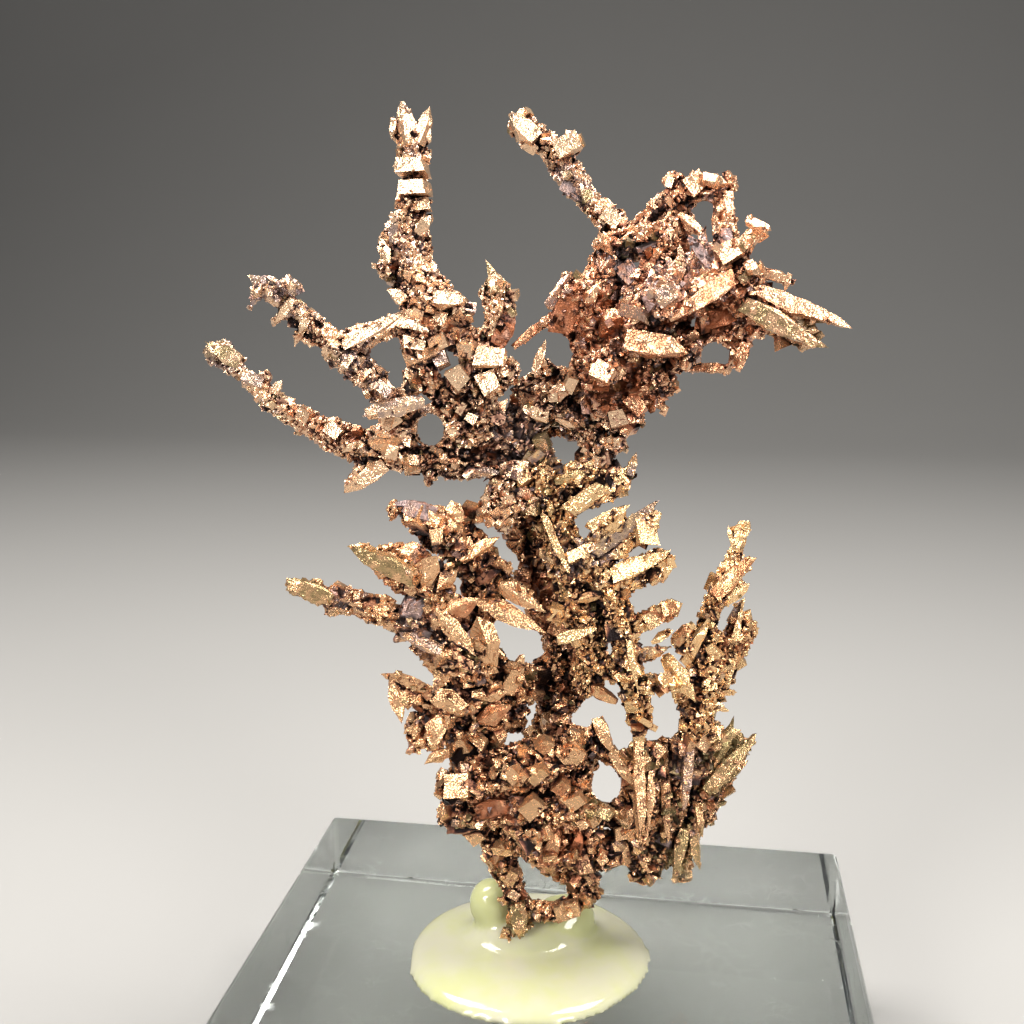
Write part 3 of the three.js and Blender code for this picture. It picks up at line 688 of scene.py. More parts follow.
    def sow(
        self,
        skin: Skin,
        chances: dict[Habit, float],
        spots: Spots,
        centres: np.ndarray,
        turns: np.ndarray,
        sizes: np.ndarray,
    ) -> None:
        """Adds one crystal at each spot, of a habit drawn by lot.

        Args:
            skin: The gathered mesh.
            chances: Each habit's share of the crystals.
            spots: Where the crystals start.
            centres: The crystals' own origins.
            turns: The crystals' rotations.
            sizes: The crystals' half widths or lengths along their own axes.
        """
        kinds = self.rng.choice(len(chances), len(centres), p=tuple(chances.values()))
        for kind, habit in enumerate(chances):
            mine = kinds == kind
            self.crystals(skin, habit, spots.pick(mine), centres[mine], turns[mine], sizes[mine])

    def grow_core(self, skin: Skin, spots: Spots) -> None:
        """Lays the branch's body under the crystals, broken into small tilted faces.

        Args:
            skin: The gathered mesh.
            spots: The surface's places, which give each face its seed.
        """
        points, faces, normals = remeshed(*solid_arrays(self.node), self.voxel)
        every = max(1, int(len(spots.places) * self.facet_pitch**2 / max(len(points) * self.voxel**2, 1e-6)))
        seeds = spots.pick(np.arange(0, len(spots.places), every))
        tilts = unit(seeds.normals + self.rng.normal(0, 0.34, seeds.normals.shape))
        lifts = self.rng.normal(0, 0.07, len(seeds.places))
        owner = nearest(points, seeds.places)
        facing = np.sum(normals * tilts[owner], 1)
        height = np.sum((seeds.places[owner] - points) * tilts[owner], 1) / np.maximum(facing, 0.5)
        thick = np.clip(seeds.depth[owner] / 1.2, 0.15, 1)
        broken = np.clip(height + lifts[owner], -0.3, 0.2)
        shift = (broken + 0.05 * bumps(points, 0.3) - self.sink * 0.8) * thick
        shift = np.where(in_openings(points + normals * shift[:, None]), np.minimum(shift, -0.15), shift)
        masks = np.zeros((len(points), 3))
        masks[:, 0] = np.clip(self.rng.normal(0.5, 0.16, len(seeds.places)) + self.brightness, 0, 1)[owner]
        # Painted shade: sunk places of the core are darker and raised ones lighter, and places in hollows
        # darker.
        masks[:, 1] = np.clip(0.5 + shift * 1.9, 0, 1)
        masks[:, 2] = seeds.openness[owner]
        skin.add(points + normals * shift[:, None], faces, masks, self.stains_at(seeds.places)[owner])

    def grow_grains(self, skin: Skin, spots: Spots) -> None:
        """Covers the branch with small grains, fewer on its thin flat crystals.

        Args:
            skin: The gathered mesh.
            spots: Where the grains start.
        """
        thin = np.clip((spots.depth - 0.35) / 0.9, 0.3, 1.0)
        spots = spots.pick(self.rng.random(len(thin)) < thin)
        number = len(spots.places)
        sizes = np.clip(self.grain * np.exp(self.rng.normal(0, 0.38, number)), 0.06, 0.28)
        spread = sizes[:, None] * self.rng.uniform((0.75, 0.7, 0.7), (1.15, 1.1, 1.45), (number, 3))
        upward = spots.normals * 0.55 + spots.growth * 0.45 + self.rng.normal(0, 0.45, (number, 3))
        turns = turned(upward, self.rng.normal(size=(number, 3)))
        centres = spots.places + spots.normals * (sizes * 0.1 - self.sink)[:, None]
        self.sow(skin, dict(zip(GRAIN_HABITS, (0.36, 0.34, 0.3))), spots, centres, turns, spread)

    def grow_blocks(self, skin: Skin, spots: Spots) -> None:
        """Adds the larger crystals that stand out of the crust.

        Args:
            skin: The gathered mesh.
            spots: Where the crystals start.
        """
        spots = spots.pick(spots.depth > 0.8)
        number = len(spots.places)
        sizes = np.clip(self.block * np.exp(self.rng.normal(0, 0.35, number)), 0.16, 0.6)
        flat = self.rng.uniform((0.8, 0.35, 0.7), (1.2, 0.8, 1.4), (number, 3))
        upward = spots.normals * 0.5 + spots.growth * 0.6 + self.rng.normal(0, 0.3, (number, 3))
        turns = turned(upward, np.cross(spots.normals, spots.growth) + self.rng.normal(0, 0.35, (number, 3)))
        centres = spots.places - spots.normals * (sizes * 0.35 + self.sink)[:, None]
        spread = sizes[:, None] * flat
        self.sow(skin, dict(zip(GRAIN_HABITS, (0.4, 0.35, 0.25))), spots, centres, turns, spread)

    def grow_leaves(self, skin: Skin, spots: Spots) -> None:
        """Adds flattened leaves and tongues that lean along the branch.

        Args:
            skin: The gathered mesh.
            spots: Where the leaves start.
        """
        spots = spots.pick(spots.depth > 1.1)
        number = len(spots.places)
        lengths = np.clip(self.leaf_length * np.exp(self.rng.normal(0, 0.25, number)), 0.5, 2.6)
        widths = lengths * self.rng.uniform(0.2, 0.34, number)
        thick = widths * self.rng.uniform(0.35, 0.35 + self.flatness, number)
        upward = spots.normals * 0.75 + spots.growth * 0.75 + self.rng.normal(0, 0.3, (number, 3))
        turns = turned(upward, np.cross(spots.normals, spots.growth) + self.rng.normal(0, 0.4, (number, 3)))
        centres = spots.places - spots.normals * 0.3
        sizes = np.stack([widths, thick, lengths], 1)
        self.sow(skin, dict(zip(LEAF_HABITS, (0.5, 0.2, 0.3))), spots, centres, turns, sizes)

    def grow_bridges(self, skin: Skin, spots: Spots, thicket: Thicket) -> None:
        """Grows the branch together with its neighbours at the forks.

        Args:
            skin: The gathered mesh.
            spots: The surface's places.
            thicket: All the copper solids.
        """
        others = thicket.without(self.node)
        some = self.rng.random(len(spots.places)) < self.bridge_share
        spots = spots.pick(some)
        found = [others.find_nearest(Vector(place), self.bridge_reach) for place in spots.places]
        near = np.array([hit[0] is not None for hit in found])
        if not near.any():
            return
        spots = spots.pick(near)
        far = np.array([hit[0] for hit in found if hit[0] is not None])
        number = len(spots.places)
        sizes = np.linalg.norm(far - spots.places, axis=1) * 0.36 + self.rng.uniform(0.12, 0.26, number)
        spread = sizes[:, None] * self.rng.uniform(0.6, 1.15, (number, 3))
        turns = turned(self.rng.normal(size=(number, 3)), self.rng.normal(size=(number, 3)))
        self.crystals(skin, Habit.BLOCK, spots, (far + spots.places) / 2, turns, spread)

    def showpiece_body(self, piece: Showpiece) -> np.ndarray:
        """Sets one notable crystal in its place, its broad face forward.

        Args:
            piece: The crystal.

        Returns:
            The points of its hull.
        """
        base, tip = np.array(piece.base), np.array(piece.tip)
        growth, form = tip - base, FORMS[piece.habit]
        length = float(np.linalg.norm(growth))
        facing = FRONT + self.rng.normal(0, 0.24, 3)
        turn = turned(growth[None], np.cross(growth, facing)[None])[0]
        half = np.array([piece.width / 2, piece.width * piece.flatness / 2, length * 1.1])
        centre = base - growth * 0.1
        if piece.habit in GRAIN_HABITS:
            half[2] = length / 2
            centre = (base + tip) / 2
        shape = form.points + self.rng.normal(0, 0.09, form.points.shape) * (1, 1, 0.5)
        return centre + FRONT * 0.06 + (shape * half) @ turn.T

    def grow_showpieces(self, skin: Skin, thicket: Thicket) -> None:
        """Grows the branch's notable crystals with worn, pitted faces and grains on them.

        Args:
            skin: The gathered mesh.
            thicket: All the copper solids.
        """
        pieces = SHOWPIECES.get(self.node, ())
        if not pieces:
            return
        bodies = []
        for piece in pieces:
            shape, shell = self.showpiece_body(piece), FORMS[piece.habit].faces
            edge = np.linalg.norm(shape[shell] - shape[np.roll(shell, 1, axis=1)], axis=2).max()
            rounds = np.clip(np.ceil(np.log2(edge / self.showpiece_pitch)), 1, 4)
            bodies.append(subdivided(shape, shell, int(rounds)))
        owner = np.repeat(np.arange(len(pieces)), [len(shape) for shape, _ in bodies])
        starts = np.cumsum([0] + [len(shape) for shape, _ in bodies])
        points = np.concatenate([shape for shape, _ in bodies])
        faces = np.concatenate([shell + start for (_, shell), start in zip(bodies, starts)])
        normals = point_normals(points, faces)
        shift = 0.05 * bumps(points, 0.55) + 0.022 * bumps(points + 40, 0.2) - 0.02
        tones = 0.3 + 0.36 * np.array([piece.tone for piece in pieces]) + self.brightness
        # Painted shade: a showpiece whose tip stands in a hollow gets a darker colour, and sunk places of
        # its faces are darker.
        open_sky = np.array([thicket.openness(np.array(piece.tip), FRONT) for piece in pieces])
        stains = np.zeros((len(pieces), 3))
        for row, piece in zip(stains, pieces):
            if piece.stain is not None:
                row[piece.stain.value] = 0.8
        masks = np.stack([tones[owner], np.clip(0.75 + shift * 4, 0, 1), open_sky[owner]], 1)
        skin.add(points + normals * shift[:, None], faces, masks, stains[owner])
        areas = np.linalg.norm(np.cross(*np.diff(points[faces], axis=1).transpose(1, 0, 2)), axis=1) / 2
        number = int(areas.sum() * self.showpiece_cover)
        chosen = faces[self.rng.choice(len(faces), number, p=areas / areas.sum()), 0]
        outward, sky = normals[chosen], open_sky[owner[chosen]]
        self.grow_grains(skin, Spots(points[chosen], outward, outward, sky, np.ones(number)))

    def build(self, thicket: Thicket) -> bpy.types.Object:
        """Grows the branch and dresses it.

        Args:
            thicket: All the copper solids.

        Returns:
            The finished piece, in place of its solid.
        """
        spots = self.spots(thicket)
        total = self.grain_cover + self.block_cover + self.leaf_cover
        lot = self.rng.random(len(spots.places)) * total
        leaves = lot < self.leaf_cover
        blocks = ~leaves & (lot < self.leaf_cover + self.block_cover)
        skin = Skin()
        self.grow_core(skin, spots)
        self.grow_grains(skin, spots.pick(~leaves & ~blocks))
        self.grow_blocks(skin, spots.pick(blocks))
        self.grow_leaves(skin, spots.pick(leaves))
        self.grow_bridges(skin, spots, thicket)
        self.grow_showpieces(skin, thicket)
        made = skin.mesh_object(f"copper_{self.node}")
        made.data.materials.append(self.finish.material())
        return settle(made, "copper", self.node)


def settle(made: bpy.types.Object, slot: str, *nodes: str) -> bpy.types.Object:
    """Fixes a finished piece to the specimen.

    Args:
        made: The piece.
        slot: Not used.
        nodes: The solids that the piece stands for.

    Returns:
        The same piece.
    """
    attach(made, "root")
    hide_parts(*nodes)
    return made


class Bench:
    """Lays out the nodes of one material or node group."""

    def __init__(self, tree: bpy.types.NodeTree) -> None:
        """Starts with an empty tree."""
        self.tree = tree
        tree.nodes.clear()

    def add(self, kind: str, **values: object) -> bpy.types.Node:
        """Adds a node.

        Args:
            kind: The node's type without its common prefix.
            values: Settings by their own names, or input values by socket name with _ for each space.

        Returns:
            The new node.
        """
        node = self.tree.nodes.new(f"ShaderNode{kind}")
        for key, value in values.items():
            if hasattr(node, key):
                setattr(node, key, value)
        for key, value in values.items():
            label = key.replace("_", " ")
            if not hasattr(node, key):
                node.inputs[label].default_value = value
        return node

    def link(self, start: bpy.types.NodeSocket, end: bpy.types.NodeSocket) -> None:
        """Joins two sockets."""
        self.tree.links.new(start, end)

    def mask(self, value: bpy.types.NodeSocket, low: float, high: float) -> bpy.types.NodeSocket:
        """Turns a value into a smooth mask.

        Args:
            value: The value's socket.
            low: The value at which the mask is 0.
            high: The value at which the mask is 1.

        Returns:
            The mask's socket.
        """
        ranged = self.add("MapRange", interpolation_type="SMOOTHSTEP")
        ranged.inputs["From Min"].default_value = low
        ranged.inputs["From Max"].default_value = high
        self.link(value, ranged.inputs["Value"])
        return ranged.outputs["Result"]

    def sum(self, operation: str, first: object, second: object) -> bpy.types.NodeSocket:
        """Works out one step of arithmetic.

        Args:
            operation: The name of the step, such as ADD.
            first: A socket or a number.
            second: A socket or a number.

        Returns:
            The result's socket.
        """
        node = self.add("Math", operation=operation)
        for slot, part in zip(node.inputs, (first, second)):
            if isinstance(part, bpy.types.NodeSocket):
                self.link(part, slot)
            else:
                slot.default_value = part
        return node.outputs[0]

    def mix(self, share: bpy.types.NodeSocket, first: object, second: object) -> bpy.types.NodeSocket:
        """Mixes two colours.

        Args:
            share: The second colour's share.
            first: A socket or a colour.
            second: A socket or a colour.

        Returns:
            The mixed colour's socket.
        """
        node = self.add("Mix", data_type="RGBA")
        self.link(share, node.inputs["Factor"])
        for slot, part in zip((node.inputs[6], node.inputs[7]), (first, second)):
            if isinstance(part, bpy.types.NodeSocket):
                self.link(part, slot)
            else:
                slot.default_value = part
        return node.outputs[2]

    def waver(self, place: bpy.types.NodeSocket, scale: float) -> bpy.types.NodeSocket:
        """Adds a noise that shifts places three ways.

        Args:
            place: The socket of the place.
            scale: The noise's scale per metre.

        Returns:
            The socket of the shift.
        """
        node = self.add("TexNoise", Scale=scale, Detail=1.0)
        self.link(place, node.inputs["Vector"])
        return node.outputs["Color"]

    def noise(self, place: bpy.types.NodeSocket, scale: float, detail: float = 3.0) -> bpy.types.NodeSocket:
        """Adds a noise.

        Args:
            place: The socket of the place.
            scale: The noise's scale per metre.
            detail: How many finer rounds the noise has.

        Returns:
            The socket of the noise's value.
        """
        node = self.add("TexNoise", Scale=scale, Detail=detail, Roughness=0.6)
        self.link(place, node.inputs["Vector"])
        return node.outputs[0]

    def emboss(
        self, shader: bpy.types.Node, height: bpy.types.NodeSocket, strength: float, depth: float
    ) -> None:
        """Gives a shader fine relief.

        Args:
            shader: The Principled shader.
            height: The socket of the relief's height.
            strength: How strongly the relief shows, from 0 to 1.
            depth: The relief's depth, in metres.
        """
        bump = self.add("Bump", Strength=strength, Distance=depth)
        self.link(height, bump.inputs["Height"])
        self.link(bump.outputs[0], shader.inputs["Normal"])


def new_group(name: str, inputs: dict[str, object], outputs: dict[str, str]) -> bpy.types.NodeTree:
    """Starts a shader node group with named sockets.

    Args:
        name: The group's name.
        inputs: Each input's name and starting value, a number or a colour.
        outputs: Each output's name and socket type.

    Returns:
        The group's empty tree with its sockets.
    """
    tree = bpy.data.node_groups.new(name, "ShaderNodeTree")
    for label, value in inputs.items():
        kind = "NodeSocketFloat" if isinstance(value, float) else "NodeSocketColor"
        tree.interface.new_socket(label, in_out="INPUT", socket_type=kind).default_value = value
    for label, kind in outputs.items():
        tree.interface.new_socket(label, in_out="OUTPUT", socket_type=kind)
    return tree


class Effects:
    """The shader node groups that several finishes share, each built once."""

    # Weights of the level: relief and openness paint shade and highlights, tone and the patchy noise are the
    # copper's own lighter and darker parts, and pits paint shade.
    RELIEF_WEIGHT = 0.95
    OPENNESS_WEIGHT = 0.45
    TONE_WEIGHT = 0.55
    PATCHY_WEIGHT = 0.55
    PIT_WEIGHT = 0.42
    MIDDLE_LEVEL = 1.14
    WAVER = (0.0006, 0.0006, 0.0006)
    made: dict[str, bpy.types.NodeTree] = {}

    @classmethod
    def crust(cls) -> bpy.types.NodeTree:
        """Gives the fine pitted grain of a surface.

        Returns:
            A group that takes a pitch, and gives a height and a mask of the pits.
        """
        if "crust" in cls.made:
            return cls.made["crust"]
        tree = new_group(
            "fine_crust",
            {"Pitch": 1.0},
            {"Height": "NodeSocketFloat", "Pits": "NodeSocketFloat"},
        )
        bench = Bench(tree)
        ends = tree.nodes.new("NodeGroupInput"), tree.nodes.new("NodeGroupOutput")
        place = bench.add("TexCoord").outputs["Object"]
        scaled = bench.add("VectorMath", operation="SCALE")
        bench.link(place, scaled.inputs[0])
        bench.link(ends[0].outputs["Pitch"], scaled.inputs["Scale"])
        fine = bench.noise(scaled.outputs[0], 9000.0, 1.0)
        cells = bench.add("TexVoronoi", feature="F1", Scale=5200.0)
        bench.link(scaled.outputs[0], cells.inputs["Vector"])
        pits = bench.mask(cells.outputs["Distance"], 0.32, 0.05)
        chosen = bench.mask(bench.noise(scaled.outputs[0], 1400.0, 1.0), 0.46, 0.62)
        pits = bench.sum("MULTIPLY", pits, chosen)
        warp = bench.add("VectorMath", operation="MULTIPLY_ADD")
        bench.link(bench.waver(scaled.outputs[0], 2600.0), warp.inputs[0])
        warp.inputs[1].default_value = cls.WAVER
        bench.link(scaled.outputs[0], warp.inputs[2])
        edges = bench.add("TexVoronoi", feature="DISTANCE_TO_EDGE", Scale=3300.0)
        bench.link(warp.outputs[0], edges.inputs["Vector"])
        grooves = bench.mask(edges.outputs["Distance"], 0.16, 0.01)
        broken = bench.mask(bench.noise(scaled.outputs[0], 1500.0, 1.0), 0.46, 0.66)
        pits = bench.sum("MAXIMUM", pits, bench.sum("MULTIPLY", grooves, broken))
        bench.link(fine, ends[1].inputs["Height"])
        bench.link(pits, ends[1].inputs["Pits"])
        cls.made["crust"] = tree
        return tree

    @classmethod
    def patina(cls) -> bpy.types.NodeTree:
        """Gives the colour of tarnished copper from the crystals' own masks, with painted shade in its
        crevices and painted highlights where it is raised and open.

        Returns:
            A group that takes the colours of the painted shade, the copper, the painted highlight and the
            stains, and gives a colour and a mask of the painted highlights.
        """
        if "patina" in cls.made:
            return cls.made["patina"]
        grey = (0.5, 0.5, 0.5, 1.0)
        names = ("Recess", "Shade", "Body", "Crest", "Russet", "Ash", "Olive")
        inputs = {name: grey for name in names} | {"Pits": 0.0, "Contrast": 1.0}
        tree = new_group("copper_patina", inputs, {"Color": "NodeSocketColor", "Crests": "NodeSocketFloat"})
        bench = Bench(tree)
        ends = tree.nodes.new("NodeGroupInput"), tree.nodes.new("NodeGroupOutput")
        given = ends[0].outputs
        place = bench.add("TexCoord").outputs["Object"]
        labels = ("tone", "relief", "openness")
        nodes = [bench.add("Attribute", attribute_name=label) for label in labels]
        tone, relief, openness = (node.outputs["Fac"] for node in nodes)
        # Painted shade and painted highlights: relief and openness make crevices and crystal feet darker and
        # raised, open places lighter.
        level = bench.sum("MULTIPLY", relief, cls.RELIEF_WEIGHT)
        level = bench.sum("ADD", level, bench.sum("MULTIPLY", openness, cls.OPENNESS_WEIGHT))
        level = bench.sum("ADD", level, bench.sum("MULTIPLY", tone, cls.TONE_WEIGHT))
        patchy = bench.sum("SUBTRACT", bench.noise(place, 900.0, 3.0), 0.5)
        level = bench.sum("ADD", level, bench.sum("MULTIPLY", patchy, cls.PATCHY_WEIGHT))
        # Painted shade in the pits and in the lines between grains.
        level = bench.sum("SUBTRACT", level, bench.sum("MULTIPLY", given["Pits"], cls.PIT_WEIGHT))
        level = bench.sum("SUBTRACT", level, cls.MIDDLE_LEVEL)
        level = bench.sum("ADD", bench.sum("MULTIPLY", level, given["Contrast"]), 0.5)
        # Painted shade at the low end of the level, the copper's own colour in the middle, and at the top a
        # painted highlight that the lightest-toned crystals also take.
        colour = bench.mix(bench.mask(level, 0.0, 0.3), given["Recess"], given["Shade"])
        colour = bench.mix(bench.mask(level, 0.24, 0.56), colour, given["Body"])
        painted_highlight = bench.mask(level, 0.5, 0.95)
        colour = bench.mix(painted_highlight, colour, given["Crest"])
        stains = bench.add("SeparateXYZ")
        bench.link(bench.add("Attribute", attribute_name="stain").outputs["Vector"], stains.inputs[0])
        speckle = bench.noise(place, 1700.0, 2.0)
        for axis, label in enumerate(("Russet", "Ash", "Olive")):
            share = bench.sum("MULTIPLY", stains.outputs[axis], bench.mask(speckle, 0.3, 0.62))
            colour = bench.mix(share, colour, given[label])
        bench.link(colour, ends[1].inputs["Color"])
        bench.link(painted_highlight, ends[1].inputs["Crests"])
        cls.made["patina"] = tree
        return tree


def new_material(name: str) -> tuple[bpy.types.Material, Bench, bpy.types.Node]:
    """Starts a material with one Principled shader.

    Args:
        name: The material's name.

    Returns:
        The material, the bench for its nodes and its shader.
    """
    made = bpy.data.materials.new(name)
    made.use_nodes = True
    bench = Bench(made.node_tree)
    shader = bench.add("BsdfPrincipled")
    bench.link(shader.outputs[0], bench.add("OutputMaterial").inputs["Surface"])
    return made, bench, shader


def place_group(bench: Bench, tree: bpy.types.NodeTree, **values: object) -> bpy.types.Node:
    """Puts a shared group into a material.

    Args:
        bench: The material's bench.
        tree: The group.
        values: The group's input values, with _ for each space.

    Returns:
        The group's node.
    """
    node = bench.add("Group", node_tree=tree)
    for key, value in values.items():
        node.inputs[key.replace("_", " ")].default_value = value
    return node


@dataclass(frozen=True)
class CopperFinish:
    """Tarnished native copper, satin and pitted, with painted highlights where it is raised and open and
    painted shade in its crevices.
    """

    name: str
    # The first two colours are painted shade, for crevices and shaded places; body is the copper's own
    # colour; the fourth is a painted highlight.
    painted_crevice_shade: Colour = srgb(24, 14, 14)
    shade: Colour = srgb(86, 53, 44)
    body: Colour = srgb(172, 124, 92)
    painted_highlight: Colour = srgb(228, 186, 140)
    russet: Colour = srgb(178, 108, 72)
    ash: Colour = srgb(146, 128, 126)
    olive: Colour = srgb(146, 130, 90)
    metallic: float = 0.8
    roughness: float = 0.42
    polish: float = 0.16
    contrast: float = 2.7
    bump: float = 0.45
    bump_depth: float = 0.0001

    def material(self) -> bpy.types.Material:
        """Makes the finish once and gives it again after that.

        Returns:
            The finish's material.
        """
        if self.name in bpy.data.materials:
            return bpy.data.materials[self.name]
        made, bench, shader = new_material(self.name)
        crust = place_group(bench, Effects.crust(), Pitch=1.0)
        patina = place_group(
            bench,
            Effects.patina(),
            Recess=self.painted_crevice_shade,
            Shade=self.shade,
            Body=self.body,
            Crest=self.painted_highlight,
            Russet=self.russet,
            Ash=self.ash,
            Olive=self.olive,
            Contrast=self.contrast,
        )
        # The pits darken the colour as painted shade.
        bench.link(crust.outputs["Pits"], patina.inputs["Pits"])
        bench.link(patina.outputs["Color"], shader.inputs["Base Color"])
        shader.inputs["Metallic"].default_value = self.metallic
        polished = bench.sum("MULTIPLY", patina.outputs["Crests"], self.polish)
        bench.link(bench.sum("SUBTRACT", self.roughness, polished), shader.inputs["Roughness"])
        bench.emboss(shader, crust.outputs["Height"], self.bump, self.bump_depth)
        return made


@dataclass(frozen=True)
class AcrylicFinish:
    """Clear polished acrylic with faint scuffs."""

    name: str = "clear_acrylic"
    tint: Colour = srgb(250, 252, 251)
    absorbed: Colour = srgb(214, 236, 228)
    density: float = 6.0
    ior: float = 1.49
    roughness: float = 0.012
    scuffing: float = 0.22

    def material(self) -> bpy.types.Material:
        """Makes the finish.

        Returns:
            The finish's material.
        """
        made, bench, shader = new_material(self.name)
        shader.inputs["Base Color"].default_value = self.tint
        shader.inputs["Metallic"].default_value = 0.0
        shader.inputs["Transmission Weight"].default_value = 1.0
        shader.inputs["IOR"].default_value = self.ior
        crust = place_group(bench, Effects.crust(), Pitch=0.22)
        scuffs = bench.sum("MULTIPLY", crust.outputs["Pits"], self.scuffing)
        bench.link(bench.sum("ADD", scuffs, self.roughness), shader.inputs["Roughness"])
        bench.emboss(shader, crust.outputs["Height"], 0.05, 0.00002)
        absorb = bench.add("VolumeAbsorption", Color=self.absorbed, Density=self.density)
        output = next(node for node in bench.tree.nodes if node.type == "OUTPUT_MATERIAL")
        bench.link(absorb.outputs[0], output.inputs["Volume"])
        return made


@dataclass(frozen=True)
class GlueFinish:
    """Milky yellow-green glue, glossy and faintly clouded."""

    name: str = "milky_glue"
    pale: Colour = srgb(178, 176, 156)
    deep: Colour = srgb(176, 178, 134)
    milkiness: float = 0.5
    ior: float = 1.48
    roughness: float = 0.07
    dulling: float = 0.12

    def material(self) -> bpy.types.Material:
        """Makes the finish.

        Returns:
            The finish's material.
        """
        made, bench, shader = new_material(self.name)
        place = bench.add("TexCoord").outputs["Object"]
        cloud = bench.noise(place, 260.0, 3.0)
        lump = bench.add("Attribute", attribute_name="lump").outputs["Fac"]
        share = bench.sum("ADD", bench.mask(cloud, 0.35, 0.75), lump)
        capped = bench.add("Clamp")
        bench.link(share, capped.inputs["Value"])
        bench.link(bench.mix(capped.outputs[0], self.pale, self.deep), shader.inputs["Base Color"])
        shader.inputs["Subsurface Weight"].default_value = self.milkiness
        shader.inputs["Subsurface Radius"].default_value = (1.0, 1.0, 0.55)
        shader.inputs["Subsurface Scale"].default_value = 0.0012
        shader.inputs["IOR"].default_value = self.ior
        crust = place_group(bench, Effects.crust(), Pitch=0.16)
        dull = bench.sum("MULTIPLY", crust.outputs["Pits"], self.dulling)
        bench.link(bench.sum("ADD", dull, self.roughness), shader.inputs["Roughness"])
        bench.emboss(shader, crust.outputs["Height"], 0.04, 0.00005)
        return made


@dataclass
class AcrylicBlock:
    """The square display block."""

    side: float = 38.1
    height: float = BLOCK_TOP
    edge: float = 0.35
    finish: AcrylicFinish = AcrylicFinish()

    def build(self) -> bpy.types.Object:
        """Makes the block with its polished, lightly broken edges.

        Returns:
            The finished piece, in place of its solid.
        """
        form = bmesh.new()
        bmesh.ops.create_cube(form, size=1.0)
        bmesh.ops.scale(form, vec=(self.side * MM, self.side * MM, self.height * MM), verts=form.verts)
        bmesh.ops.translate(form, vec=(0, 0, self.height / 2 * MM), verts=form.verts)
        bmesh.ops.bevel(
            form, geom=form.edges[:], offset=self.edge * MM, segments=3, profile=0.5, affect="EDGES"
        )
        mesh = bpy.data.meshes.new("acrylic_block")
        form.to_mesh(mesh)
        form.free()
        made = placed("acrylic_block", mesh)
        mesh.materials.append(self.finish.material())
        return settle(made, "acrylic", "display_block")


